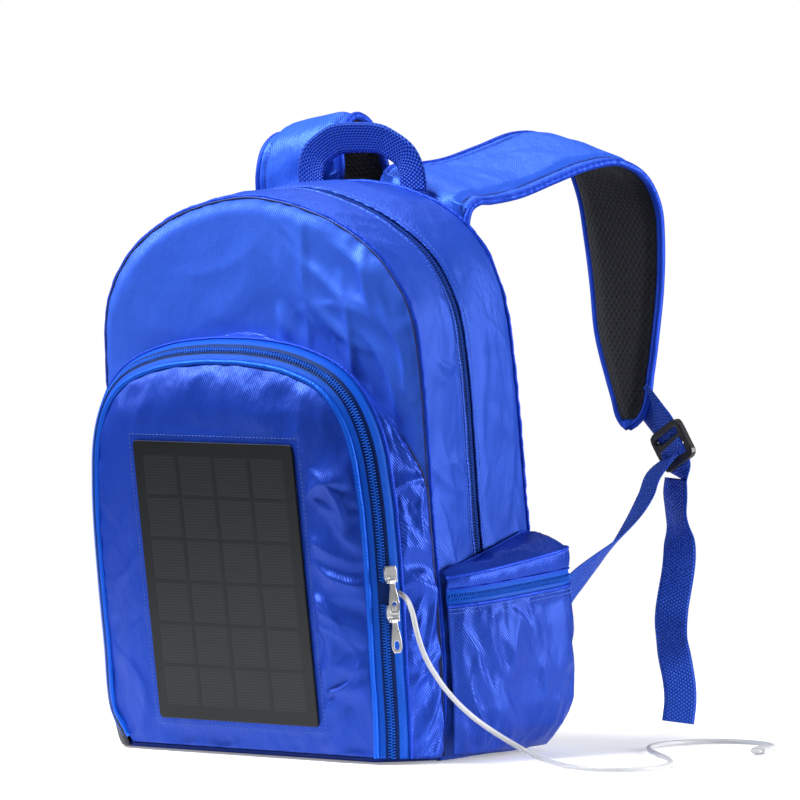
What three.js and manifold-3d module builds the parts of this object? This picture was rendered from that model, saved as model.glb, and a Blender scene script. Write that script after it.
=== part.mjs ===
// Solar daypack. Millimetres, +Z up, the front with the solar panel faces -Y, the wearer's
// back panel faces +Y. The origin is the middle of the flat underside of the base.
// The bag's own panels are laid out in an upright frame and then sheared forward (LEAN),
// because a stuffed daypack on a floor slumps towards its front pocket.
import * as THREE from "three";
import { mergeVertices } from "three/addons/utils/BufferGeometryUtils.js";
import Module from "manifold-3d";

const wasm = await Module();
wasm.setup();

// ---------------------------------------------------------------- driving dimensions
const LEAN = Math.tan((7 * Math.PI) / 180); // forward lean of the whole bag
const Y_FRONT = -61; // seam of the main front panel
const Y_ZIP = -2; // centre line of the main zip
const Y_BACK = 68; // seam of the back panel
const WALL = 3; // fabric, lining and seam allowance of the main shell
const SIDE_TOP = 100; // top of the two side panels, where the main zip ends
const SOLAR_W = 142,
  SOLAR_Z0 = 25,
  SOLAR_Z1 = 228,
  SOLAR_X = -4,
  SOLAR_T = 2; // laminate
const WEB_W = 25,
  WEB_T = 1.6; // webbing
const CABLE_D = 3.8;
const PULL_L = 24,
  PULL_W = 7.4,
  PULL_T = 1.3; // zip pulls
const STRAP_T = 11; // padded shoulder strap

// half arches of the main body, right side, base to crown (x, z)
const ARCH_F = [
  [132, 0], [139, 30], [142, 70], [142, 120], [141, 170], [141, 220], [141, 268],
  [138, 312], [129, 338], [112, 361], [90, 378], [66, 390], [41, 398], [18, 402.5], [0, 404],
];
const ARCH_Z = [
  [130, 0], [137, 30], [140, 70], [140, 120], [139, 170], [139, 220], [139, 268],
  [136, 312], [129, 337], [116, 359], [97, 376], [72, 391], [45, 402], [20, 408.5], [0, 410],
];
const ARCH_B = [
  [126, 0], [133, 30], [136, 70], [137, 120], [136, 170], [135, 220], [134, 268],
  [131, 314], [126, 341], [115, 366], [97, 386], [74, 400], [47, 409], [22, 413], [0, 414],
];
// front pocket: root on the front panel, and the centre line of its zip (x, z)
const PK_ROOT = [
  [138, 4], [140, 40], [141, 85], [141, 130], [140.5, 170], [139.5, 199], [133, 220],
  [118, 240], [97, 260], [71, 280], [45, 293], [20, 301], [0, 303],
];
const PK_ZIP = [
  [123.5, 4], [125, 30], [125.5, 74], [126.5, 120], [126.5, 165], [125, 195], [121.5, 225],
  [113.5, 250], [101, 269], [82, 283], [52, 293], [20, 297], [0, 297.5],
];
const COLOURS = {
  nylon: [0x2344d0, 0.42, 0],
  tape: [0x1e63d6, 0.7, 0],
  webbing: [0x2342c4, 0.7, 0],
  mesh: [0x16181c, 0.9, 0],
  laminate: [0x373c40, 0.35, 0],
  plastic: [0x0e0f11, 0.45, 0],
  metal: [0xc9cbcd, 0.22, 1],
  white: [0xf2f2f4, 0.4, 0],
  steel: [0xb8bbbf, 0.35, 1],
};

// ---------------------------------------------------------------- helpers
const V = (x, y, z) => new THREE.Vector3(x, y, z);
const lerp = (a, b, t) => a + (b - a) * t;
const root = new THREE.Group();
const bag = new THREE.Group(); // upright frame -> leaning bag
bag.matrixAutoUpdate = false;
bag.matrix.set(1, 0, 0, 0, 0, 1, -LEAN, 0, 0, 0, 1, 0, 0, 0, 0, 1);
root.add(bag);
const lean = (x, y, z) => V(x, y - LEAN * z, z);

function material(key) {
  const [color, roughness, metalness] = COLOURS[key];
  return new THREE.MeshStandardMaterial({ color, roughness, metalness });
}
function add(name, geometry, colour, parent = root) {
  const mesh = new THREE.Mesh(geometry, material(colour));
  mesh.name = name;
  parent.add(mesh);
  return mesh;
}
function signedVolume(g) {
  const p = g.attributes.position,
    ix = g.index.array;
  const a = V(), b = V(), c = V();
  let v = 0;
  for (let i = 0; i < ix.length; i += 3) {
    a.fromBufferAttribute(p, ix[i]);
    b.fromBufferAttribute(p, ix[i + 1]);
    c.fromBufferAttribute(p, ix[i + 2]);
    v += a.dot(b.cross(c)) / 6;
  }
  return v;
}
function build(points, faces) {
  const g = new THREE.BufferGeometry();
  g.setAttribute(
    "position",
    new THREE.BufferAttribute(new Float32Array(points.flatMap((q) => [q.x, q.y, q.z])), 3),
  );
  g.setIndex(faces);
  if (signedVolume(g) < 0)
    for (let i = 0; i < faces.length; i += 3) {
      const t = faces[i + 1];
      faces[i + 1] = faces[i + 2];
      faces[i + 2] = t;
    }
  g.setIndex(faces);
  g.computeVertexNormals();
  return g;
}
// A closed solid through a row of equal closed sections; the two ends are capped.
function loft(sections) {
  const n = sections[0].length,
    points = sections.flat(),
    faces = [];
  for (let s = 0; s + 1 < sections.length; s++)
    for (let i = 0; i < n; i++) {
      const a = s * n + i, b = s * n + ((i + 1) % n), c = a + n, d = b + n;
      faces.push(a, b, d, a, d, c);
    }
  for (const [s, flip] of [[0, true], [sections.length - 1, false]]) {
    const ring = sections[s];
    const normal = V(0, 0, 0);
    ring.forEach((p, i) => {
      const q = ring[(i + 1) % n];
      normal.x += (p.y - q.y) * (p.z + q.z);
      normal.y += (p.z - q.z) * (p.x + q.x);
      normal.z += (p.x - q.x) * (p.y + q.y);
    });
    normal.normalize();
    const u = ring[1].clone().sub(ring[0]);
    u.addScaledVector(normal, -u.dot(normal)).normalize();
    const w = normal.clone().cross(u);
    const flat = ring.map((p) => new THREE.Vector2(p.dot(u), p.dot(w)));
    const ccw = THREE.ShapeUtils.isClockWise(flat) ? flat.slice().reverse() : flat;
    const order = THREE.ShapeUtils.isClockWise(flat)
      ? ring.map((_, i) => n - 1 - i)
      : ring.map((_, i) => i);
    for (const f of THREE.ShapeUtils.triangulateShape(ccw, [])) {
      const t = f.map((i) => s * n + order[i]);
      // the side faces run a, b, d, so the first cap turns against the ring's own order
      const forward = THREE.ShapeUtils.isClockWise(flat) ? [t[0], t[2], t[1]] : t;
      faces.push(...(flip ? [forward[0], forward[2], forward[1]] : forward));
    }
  }
  return build(points, faces);
}
// A plate over a star-shaped outline (x, z): rings from the outline to its middle.
function plate(outline, middle, rings, front, back) {
  const n = outline.length,
    points = [], faces = [];
  for (const y of [front, back]) {
    for (const s of rings)
      for (const [x, z] of outline) {
        const px = lerp(middle[0], x, s), pz = lerp(middle[1], z, s);
        points.push(V(px, y(px, pz, s), pz));
      }
    points.push(V(middle[0], y(middle[0], middle[1], 0), middle[1]));
  }
  const half = rings.length * n + 1;
  for (const side of [0, 1]) {
    const o = side * half;
    const tri = (a, b, c) => faces.push(...(side ? [a, c, b] : [a, b, c]));
    for (let r = 0; r + 1 < rings.length; r++)
      for (let i = 0; i < n; i++) {
        const j = (i + 1) % n;
        tri(o + r * n + i, o + r * n + j, o + (r + 1) * n + j);
        tri(o + r * n + i, o + (r + 1) * n + j, o + (r + 1) * n + i);
      }
    const last = o + (rings.length - 1) * n;
    for (let i = 0; i < n; i++) tri(last + i, last + ((i + 1) % n), o + half - 1);
  }
  for (let i = 0; i < n; i++) {
    const j = (i + 1) % n;
    faces.push(i, half + i, half + j, i, half + j, j);
  }
  return build(points, faces);
}
function toSolid(geometry, matrix) {
  let g = geometry.index ? geometry.toNonIndexed() : geometry.clone();
  g = new THREE.BufferGeometry().setAttribute("position", g.getAttribute("position"));
  if (matrix) g.applyMatrix4(matrix);
  g = mergeVertices(g, 1e-4);
  return new wasm.Manifold(
    new wasm.Mesh({
      numProp: 3,
      vertProperties: new Float32Array(g.attributes.position.array),
      triVerts: new Uint32Array(g.index.array),
    }),
  );
}
function toGeometry(solid) {
  const m = solid.getMesh();
  const v = new Float32Array(m.numVert * 3);
  for (let i = 0; i < m.numVert; i++)
    v.set(m.vertProperties.subarray(i * m.numProp, i * m.numProp + 3), i * 3);
  const g = new THREE.BufferGeometry();
  g.setAttribute("position", new THREE.BufferAttribute(v, 3));
  g.setIndex(Array.from(m.triVerts));
  g.computeVertexNormals();
  return g;
}
const at = (x, y, z) => new THREE.Matrix4().makeTranslation(x, y, z);
const frameOf = (o, x, y, z) => new THREE.Matrix4().makeBasis(x, y, z).setPosition(o);
function placeIn(mesh, m) {
  m.decompose(mesh.position, mesh.quaternion, mesh.scale);
  return mesh;
}
function slab(outline, depth, holes = [], bevel = 0) {
  const s = new THREE.Shape(outline.map(([x, y]) => new THREE.Vector2(x, y)));
  for (const h of holes) s.holes.push(new THREE.Path(h.map(([x, y]) => new THREE.Vector2(x, y))));
  return new THREE.ExtrudeGeometry(s, {
    depth, bevelEnabled: bevel > 0, bevelSize: bevel, bevelThickness: bevel, bevelSegments: 1,
    bevelOffset: -bevel, curveSegments: 4,
  });
}
function roundRect(w, h, r, k = 2) {
  const out = [];
  for (const [cx, cy, a] of [
    [w / 2 - r, h / 2 - r, 0], [-w / 2 + r, h / 2 - r, 90],
    [-w / 2 + r, -h / 2 + r, 180], [w / 2 - r, -h / 2 + r, 270],
  ])
    for (let i = 0; i <= k; i++) {
      const t = ((a + (90 * i) / k) * Math.PI) / 180;
      out.push([cx + r * Math.cos(t), cy + r * Math.sin(t)]);
    }
  return out;
}

// ---------------------------------------------------------------- the main shell
// A point of the half arch at depth y and running index t (0 at the base, 14 at the crown).
function archHalf(y, t) {
  const [a, b, k] =
    y <= Y_ZIP
      ? [ARCH_F, ARCH_Z, (y - Y_FRONT) / (Y_ZIP - Y_FRONT)]
      : [ARCH_Z, ARCH_B, (y - Y_ZIP) / (Y_BACK - Y_ZIP)];
  const i = Math.min(Math.floor(t), 13),
    f = t - i;
  const p = [lerp(a[i][0], b[i][0], k), lerp(a[i][1], b[i][1], k)];
  const q = [lerp(a[i + 1][0], b[i + 1][0], k), lerp(a[i + 1][1], b[i + 1][1], k)];
  return [lerp(p[0], q[0], f), lerp(p[1], q[1], f)];
}
// index of a height z on the straight lower leg
function indexAt(z) {
  for (let i = 0; i < 8; i++)
    if (z <= ARCH_Z[i + 1][1]) return i + (z - ARCH_Z[i][1]) / (ARCH_Z[i + 1][1] - ARCH_Z[i][1]);
  return 8;
}
// whole arch from the right leg over the crown to the left leg, for the indices given
function archLine(y, ts) {
  const right = ts.map((t) => archHalf(y, t));
  const left = right.slice(0, ts[ts.length - 1] === 14 ? -1 : undefined).reverse();
  return [...right, ...left.map(([x, z]) => [-x, z])];
}
function offset(line, d) {
  return line.map(([x, z], i) => {
    const [ax, az] = line[Math.max(i - 1, 0)],
      [bx, bz] = line[Math.min(i + 1, line.length - 1)];
    const l = Math.hypot(bx - ax, bz - az);
    return [x + (d * (bz - az)) / l, z - (d * (bx - ax)) / l];
  });
}
// A band of the shell between depths, following the arch; bulges holds the swell at each depth.
function archBand(ts, ys, bulges, t, both = true) {
  const lines = ys.map((y, k) => {
    const line = both ? archLine(y, ts) : ts.map((i) => archHalf(y, i));
    return { y, outer: offset(line, bulges[k]), inner: offset(line, bulges[k] - t) };
  });
  return loft(
    lines[0].outer.map((_, i) => [
      ...lines.map((l) => V(l.outer[i][0], l.y, l.outer[i][1])),
      ...lines.slice().reverse().map((l) => V(l.inner[i][0], l.y, l.inner[i][1])),
    ]),
  );
}
const upper = [indexAt(SIDE_TOP + 0.3), 3, 4, 5, 6, 7, 8, 9, 10, 11, 12, 13, 14];
const lower = [indexAt(3.4), 1, 2, indexAt(SIDE_TOP - 0.3)];

add("gusset_front", archBand(upper, [Y_FRONT + 0.4, -35, -8.4], [0, 2.5, 0], WALL), "nylon", bag);
add("gusset_rear", archBand(upper, [4.4, 34, Y_BACK - 0.4], [0, 3, 0], WALL), "nylon", bag);
add("main_zip_chain", archBand(upper, [-8, 4], [-1.2, -1.2], 1.8), "tape", bag);
const sideGeometry = archBand(lower, [Y_FRONT + 0.4, 0, Y_BACK - 0.4], [0, 1.5, 0], WALL, false);
add("side_panel_right", sideGeometry, "nylon", bag);
add(
  "side_panel_left",
  build(
    Array.from({ length: sideGeometry.attributes.position.count }, (_, i) => {
      const p = V().fromBufferAttribute(sideGeometry.attributes.position, i);
      return V(-p.x, p.y, p.z);
    }),
    Array.from(sideGeometry.index.array),
  ),
  "nylon",
  bag,
);
const ts15 = Array.from({ length: 15 }, (_, i) => i);
const MID = [0, 190];
// how far a point lies from the middle of the front panel, 1 at its seam
function reach(line, x, z, middle = MID) {
  const dx = x - middle[0], dz = z - middle[1];
  let best = 0;
  for (let i = 0; i < line.length; i++) {
    const [ax, az] = line[i], [bx, bz] = line[(i + 1) % line.length];
    const ex = bx - ax, ez = bz - az;
    const den = dx * ez - dz * ex;
    if (Math.abs(den) < 1e-9) continue;
    const s = ((ax - middle[0]) * ez - (az - middle[1]) * ex) / den;
    const t = ((ax - middle[0]) * dz - (az - middle[1]) * dx) / den;
    if (s > 0 && t >= -1e-6 && t <= 1 + 1e-6) best = Math.max(best, 1 / s);
  }
  return best;
}
const frontOutline = archLine(Y_FRONT, ts15).map(([x, z]) => [x, Math.max(z, 0.6)]);
frontOutline.push([-70, 0.6], [0, 0.6], [70, 0.6]);
const frontBulge = (s) => 9 * Math.max(0, 1 - s * s);
add(
  "front_panel",
  plate(frontOutline, MID, [1, 0.85, 0.6, 0.3], (x, z, s) => Y_FRONT - 3.4 - frontBulge(s),
    (x, z, s) => Y_FRONT - 0.4 - frontBulge(s)),
  "nylon",
  bag,
);
const backOutline = archLine(Y_BACK, ts15).map(([x, z]) => [x, Math.max(z, 0.6)]);
backOutline.push([-70, 0.6], [0, 0.6], [70, 0.6]);
add("back_panel", plate(backOutline, MID, [1, 0.5], () => Y_BACK, () => Y_BACK + 6), "nylon", bag);
const padOutline = backOutline.map(([x, z]) => [x * 0.86, lerp(205, z, 0.86)]);
add(
  "back_pad",
  plate(padOutline, [0, 205], [1, 0.9, 0.4], () => Y_BACK + 6.4,
    (x, z, s) => Y_BACK + (s > 0.95 ? 9 : 15)),
  "mesh",
  bag,
);
// base, flat on the floor
const baseShape = [];
for (const [x, y] of [
  [118, -60.4], [126, -57], [128, -48], [124, 54], [121, 63], [113, 67.4],
]) baseShape.push([x, y]);
const baseOutline = [...baseShape, ...baseShape.slice().reverse().map(([x, y]) => [-x, y])];
{
  const g = slab(baseOutline, 3);
  add("base_panel", g, "nylon");
}

// ---------------------------------------------------------------- front pocket
const mirrorLine = (half) => [...half, ...half.slice(0, -1).reverse().map(([x, z]) => [-x, z])];
// the pocket swells a little wider on the left
const pkRoot = mirrorLine(PK_ROOT),
  pkZip = mirrorLine(PK_ZIP).map(([x, z]) => [x < 0 ? x * 1.064 : x, z]);
const frontLine = [...frontOutline];
const panelFace = (x, z) => Y_FRONT - 3.4 - frontBulge(Math.min(1, reach(frontLine, x, z)));
const zipOuter = offset(pkZip, 4), zipMid = offset(pkZip, -5.5), zipInner = offset(pkZip, -12);
{
  const rootIn = offset(pkRoot, -2.5), outIn = offset(pkZip, 1.6);
  const midOut = pkRoot.map(([x, z], i) => [lerp(x, zipOuter[i][0], 0.5), lerp(z, zipOuter[i][1], 0.5)]);
  const mo = offset(midOut, 2), mi = offset(midOut, -0.5);
  const sections = pkRoot.map(([x, z], i) => {
    const y0 = panelFace(x, z) - 0.9, y0i = panelFace(...rootIn[i]) - 0.9;
    return [
      V(x, y0, z), V(mo[i][0], -77, mo[i][1]), V(zipOuter[i][0], -89, zipOuter[i][1]),
      V(outIn[i][0], -89, outIn[i][1]), V(mi[i][0], -77, mi[i][1]), V(rootIn[i][0], y0i, rootIn[i][1]),
    ];
  });
  add("pocket_gusset", loft(sections), "nylon", bag);
}
const EXIT_Z = 124; // where the charging cable leaves between the two sliders
{
  const sections = pkZip.map(([x, z], i) => {
    const o = offset(pkZip, 2.2)[i], m = offset(pkZip, -1.6)[i], c = offset(pkZip, -6.6)[i];
    return [
      V(zipOuter[i][0], -89.5, zipOuter[i][1]), V(x, -97, z), V(zipMid[i][0], -103.2, zipMid[i][1]),
      V(zipInner[i][0], -107.4, zipInner[i][1]), V(zipInner[i][0], -105.4, zipInner[i][1]),
      V(c[0], -101.4, c[1]), V(m[0], -95.8, m[1]), V(o[0], -89.5, o[1]),
    ];
  });
  // the chain is parted between the sliders, on the gusset side, so the cable comes through
  const slot = toSolid(new THREE.BoxGeometry(16, 9, 8), at(128, -91.5, EXIT_Z));
  add("pocket_zip_chain", toGeometry(toSolid(loft(sections)).subtract(slot)), "tape", bag);
}
const FACE_MID = [0, 130];
const solarPlane = (z) => -(112 + 0.04 * (z - SOLAR_Z0));
const faceOutline = offset(pkZip, -12.5).map(([x, z]) => [x, Math.max(z, 5)]);
faceOutline.push([-56, 5], [0, 5], [56, 5]);
add(
  "pocket_face",
  plate(
    faceOutline, FACE_MID, [1, 0.87, 0.45],
    (x, z, s) => (s > 0.95 ? -107.6 : solarPlane(z)),
    (x, z, s) => (s > 0.95 ? -105.4 : solarPlane(z) + 2.2),
  ),
  "nylon",
  bag,
);
{
  const g = slab(
    [[136, -66], [122, -88], [110, -103], [-116, -103], [-128, -88], [-136, -66]], 2.6,
  );
  placeIn(add("pocket_bottom", g, "nylon"), at(0, 0, 0.8));
}

// ---------------------------------------------------------------- solar charging parts
{
  const quad = (z, y0, y1, w, cx) => [V(cx - w / 2, y0, z), V(cx + w / 2, y0, z), V(cx + w / 2, y1, z), V(cx - w / 2, y1, z)];
  const s = (z) => solarPlane(z) - 0.4;
  add(
    "solar_panel",
    loft([SOLAR_Z0, SOLAR_Z1].map((z) => quad(z, s(z) - SOLAR_T, s(z), SOLAR_W, SOLAR_X))),
    "laminate",
    bag,
  );
}
const JB = [43, -106, 61]; // junction box behind the panel
placeIn(add("junction_box", new THREE.BoxGeometry(26, 6, 26), "plastic", bag), at(...JB));
const REG = { x0: 26, x1: 82, y: -88, z: EXIT_Z, dy: 13, dz: 24 };
{
  const box = toSolid(
    new THREE.BoxGeometry(REG.x1 - REG.x0, REG.dy, REG.dz), at((REG.x0 + REG.x1) / 2, REG.y, REG.z),
  );
  const mouth = toSolid(new THREE.BoxGeometry(16, 6.8, 14.4), at(REG.x1 - 7, REG.y, REG.z));
  add("regulator_box", toGeometry(box.subtract(mouth)), "plastic", bag);
  const shell = toSolid(new THREE.BoxGeometry(13.4, 6.2, 13.8), at(REG.x1 - 7, REG.y, REG.z));
  const hollow = toSolid(new THREE.BoxGeometry(13.4, 5.2, 12.7), at(REG.x1 - 6, REG.y, REG.z));
  add("usb_socket", toGeometry(shell.subtract(hollow)), "steel", bag);
  const tongue = toSolid(new THREE.BoxGeometry(12.6, 4.5, 12), at(REG.x1 - 5.6, REG.y, REG.z));
  const grip = toSolid(new THREE.BoxGeometry(20, 8, 15.5), at(REG.x1 + 10.6, REG.y, REG.z));
  add("usb_plug", toGeometry(tongue.add(grip)), "white", bag);
}
function tube(points, d, steps, sides) {
  const curve = new THREE.CatmullRomCurve3(points, false, "centripetal");
  const circle = new THREE.Shape(
    Array.from({ length: sides }, (_, i) => {
      const a = (2 * Math.PI * i) / sides;
      return new THREE.Vector2((d / 2) * Math.cos(a), (d / 2) * Math.sin(a));
    }),
  );
  return new THREE.ExtrudeGeometry(circle, { steps, extrudePath: curve, bevelEnabled: false });
}
add(
  "solar_lead",
  tube([V(43, -106, 74.6), V(43, -105, 84), V(46, -97, 98), V(48, -90, 105), V(48, -88, 111.5)], 3, 9, 8),
  "plastic",
  bag,
);

// ---------------------------------------------------------------- charging cable
// From the plug in the regulator out between the sliders, down the bag's side and along the floor.
const FLOOR = CABLE_D / 2 + 0.2;
const cablePath = [
  lean(103.2, -88, EXIT_Z), lean(110, -88.4, EXIT_Z), lean(119, -90, EXIT_Z), lean(128, -91.4, EXIT_Z - 0.4),
  V(137, -108.5, 120), V(145, -112, 111), V(149, -112, 97), V(151, -106, 81), V(153.5, -95, 65),
  V(157, -80, 49), V(162, -62, 34), V(170, -44, 21), V(182, -33, 11), V(198, -33, 4.6),
  V(218, -42, FLOOR + 0.3), V(240, -56, FLOOR), V(264, -64, FLOOR), V(286, -56, FLOOR), V(298, -32, FLOOR),
  V(291, -2, FLOOR), V(271, 28, FLOOR), V(246, 53, FLOOR), V(222, 79, FLOOR), V(207, 109, FLOOR),
  V(211, 142, FLOOR), V(232, 165, FLOOR), V(260, 168, FLOOR), V(282, 153, FLOOR), V(290, 126, FLOOR),
];
const cableCurve = new THREE.CatmullRomCurve3(cablePath, false, "centripetal");
export const cableLength = cableCurve.getLength();
add("charging_cable", tube(cablePath, CABLE_D, 64, 8), "white");
{
  // small plug on the far end: a moulded grip and a flat tab
  const end = cablePath[cablePath.length - 1].clone();
  const dir = cableCurve.getTangent(1).setZ(0).normalize();
  const side = V(0, 0, 1).cross(dir).normalize();
  const grip = toSolid(slab(roundRect(11, 5, 2.2), 14), at(0, 0, 0.4));
  const tab = toSolid(slab(roundRect(7, 1.9, 0.9), 7.5), at(0, 0, 14));
  const m = frameOf(end.setZ(2.6), side, V(0, 0, 1), dir);
  placeIn(add("cable_end_plug", toGeometry(grip.add(tab)), "white"), m);
}

// ---------------------------------------------------------------- zip sliders and pulls
// Local frame: x across the tape, y along it (up), z out of it. The pull turns on a pin along x.
const PIN_H = 7.7;
function sliderGeometry() {
  let s = toSolid(slab([[-3.2, -6], [3.2, -6], [4.6, -2], [4.6, 3], [3.6, 6], [-3.6, 6], [-4.6, 3], [-4.6, -2]], 4.2), at(0, 0, 1));
  for (const k of [-1, 1]) {
    s = s.add(toSolid(new THREE.BoxGeometry(1, 3.2, 4.6), at(k * 3.2, -3.4, 6.7)));
  }
  const pin = new THREE.CylinderGeometry(0.65, 0.65, 6.8, 8).rotateZ(Math.PI / 2);
  return toGeometry(s.add(toSolid(pin, at(0, -3.4, PIN_H))));
}
// The pull hangs along -y of its own frame, whose origin is the pin.
function pullGeometry() {
  const ringOuter = new THREE.CylinderGeometry(2.2, 2.2, 4.4, 10).rotateZ(Math.PI / 2);
  const bore = new THREE.CylinderGeometry(1.15, 1.15, 6, 10).rotateZ(Math.PI / 2);
  const w = PULL_W / 2;
  const hole = roundRect(3.4, 6.4, 1.6).map(([x, y]) => [x, y - PULL_L + 5.4]);
  const leaf = slab(
    [[-2, -1.4], [-2, -5.5], [-2.6, -8], [-w, -16], [-w, -PULL_L + 3], [-2.2, -PULL_L],
      [2.2, -PULL_L], [w, -PULL_L + 3], [w, -16], [2.6, -8], [2, -5.5], [2, -1.4]],
    PULL_T, [hole],
  );
  return toGeometry(
    toSolid(ringOuter).add(toSolid(leaf, at(0, 0, -PULL_T / 2))).subtract(toSolid(bore)),
  );
}
function slider(name, o, out, up, down, colour = "metal") {
  const z = out.clone().addScaledVector(up, -out.dot(up)).normalize();
  const x = up.clone().cross(z).normalize();
  const group = new THREE.Group();
  placeIn(group, frameOf(o, x, up, z));
  root.add(group);
  add(name + "_slider", sliderGeometry(), colour, group);
  const pin = o.clone().addScaledVector(up, -3.4).addScaledVector(z, PIN_H);
  // the pull hangs along down, turned only about the pin
  const y = down.clone().multiplyScalar(-1).addScaledVector(x, down.dot(x)).normalize();
  const pull = add(name + "_pull", pullGeometry(), colour);
  placeIn(pull, frameOf(pin, x, y, x.clone().cross(y)));
  return { pin, axis: x, out: z };
}
const UP = V(0, -LEAN, 1).normalize();
const joints = {};
const frontOut = V(0.747, -0.664, 0);
const zipX = (z) => {
  const i = PK_ZIP.findIndex(([, b]) => b > z);
  const [a, b] = [PK_ZIP[i - 1], PK_ZIP[i]];
  return lerp(a[0], b[0], (z - a[1]) / (b[1] - a[1]));
};
joints.front_upper = slider("front_upper", lean(zipX(136), -97, 137), frontOut, UP, V(0, 0, -1));
joints.front_lower = slider("front_lower", lean(zipX(109), -97, 109), frontOut, UP, V(0, 0, -1));
const legX = (z) => archHalf(Y_ZIP, indexAt(z))[0] - 1.2;
joints.main_upper = slider("main_upper", lean(-legX(262), Y_ZIP, 262), V(-1, 0, 0), UP, UP.clone().negate());
joints.main_lower = slider("main_lower", lean(-legX(246), Y_ZIP, 226), V(-1, 0, 0), UP, UP.clone().negate());

// ---------------------------------------------------------------- side pockets
// Plan of the right pocket, front seam to back seam (upright frame): wall point, outer point.
const SP = [
  { w: [143.6, -59.5], o: [148.6, -59.5] }, { w: [144.6, -46], o: [158, -46] },
  { w: [144.8, -25], o: [166.5, -25] }, { w: [144.6, 0], o: [173, 0] }, { w: [143.8, 22], o: [178, 24] },
  { w: [142, 42], o: [181, 45] }, { w: [140.8, 52], o: [175.5, 57.5] }, { w: [140.2, 58], o: [158, 61.5] },
  { w: [139.4, 61.5], o: [144.5, 65] },
];
const along = (i) => {
  // how far along the pocket, by depth y
  const y = SP[i].o[1];
  return Math.min(1, Math.max(0, (y + 59.5) / 112));
};
const zWall = (i) => lerp(136, 160, along(i)),
  zEdge = (i) => lerp(133, 150, along(i)),
  zHem = (i) => lerp(124, 135, along(i)),
  zBody = (i) => lerp(112, 123, along(i));
function pocketPoint(i, k, z, side, inset = 0) {
  const { w, o } = SP[i];
  const d = Math.hypot(o[0] - w[0], o[1] - w[1]);
  const f = Math.max(k - inset / d, 0.25);
  return V(side * lerp(w[0], o[0], f), lerp(w[1], o[1], f), z);
}
function sidePocket(side, name) {
  const t = 2.2;
  const body = SP.map((_, i) => {
    const p = (k, z, inset = 0) => pocketPoint(i, k, z, side, inset);
    return [
      V(side * (SP[i].w[0] + 0.2), SP[i].w[1], 4), p(0.45, 4), p(0.8, 24), p(1.02, 62), p(1.02, 100), p(1, zBody(i)),
      p(1, zBody(i), t), p(1.02, 100, t), p(1.02, 62, t), p(0.8, 26, t), p(0.45, 6.4, t),
      V(side * (SP[i].w[0] + 0.2), SP[i].w[1], 6.4),
    ];
  });
  add("side_pocket_" + name, loft(body), "nylon", bag);
  const zip = SP.map((_, i) => {
    const p = (k, z, inset = 0) => pocketPoint(i, k, z, side, inset);
    return [p(1, zBody(i) + 0.4), p(1, zHem(i) - 0.4), p(1, zHem(i) - 0.4, 1.6), p(1, zBody(i) + 0.4, 1.6)];
  });
  add("side_zip_chain_" + name, loft(zip), "tape", bag);
  const flap = SP.map((_, i) => {
    const p = (k, z, inset = 0) => pocketPoint(i, k, z, side, inset);
    const W = (z) => V(side * (SP[i].w[0] + 0.2), SP[i].w[1], z);
    return [p(1, zHem(i)), p(1, zEdge(i)), W(zWall(i)), W(zWall(i) - 2.4), p(1, zEdge(i) - 2, t), p(1, zHem(i), t)];
  });
  add("side_pocket_flap_" + name, loft(flap), "nylon", bag);
  // slider on the rear face, near the body
  const a = SP[6].o, b = SP[7].o;
  const f = 0.86;
  const zMid = (zHem(6) + zBody(6)) / 2;
  const o = lean(side * lerp(a[0], b[0], f), lerp(a[1], b[1], f) + 0.2, zMid);
  const go = V(side * (a[0] - b[0]), a[1] - b[1], 0).normalize(); // towards the outer corner
  const out = V(side * -(a[1] - b[1]), a[0] - b[0], 0).normalize();
  out.multiplyScalar(out.y < 0 ? -1 : 1);
  const group = new THREE.Group();
  const x = go.clone(), z = out.clone(), y = z.clone().cross(x);
  // the slider lies along the tape; its pull hangs from a pin along the tape
  placeIn(group, frameOf(o, y.clone().negate(), x, z));
  root.add(group);
  let s = toSolid(slab([[-3.2, -6], [3.2, -6], [4.6, -2], [4.6, 3], [3.6, 6], [-3.6, 6], [-4.6, 3], [-4.6, -2]], 4.2), at(0, 0, 1));
  for (const k of [-1, 1]) s = s.add(toSolid(new THREE.BoxGeometry(3.2, 1, 4.6), at(0, k * 3.2, 6.7)));
  const pinG = new THREE.CylinderGeometry(0.65, 0.65, 6.8, 8);
  s = s.add(toSolid(pinG, at(0, 0, PIN_H)));
  add("side_" + name + "_slider", toGeometry(s), "metal", group);
  const pin = o.clone().addScaledVector(z, PIN_H);
  const pull = add("side_" + name + "_pull", pullGeometry(), "metal");
  const py = V(0, 0, 1);
  const px = go.clone();
  const pz = px.clone().cross(py);
  placeIn(pull, frameOf(pin, px, py, pz));
  joints["side_" + name] = { pin, axis: px, out: z, go };
}
sidePocket(1, "right");
sidePocket(-1, "left");

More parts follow.
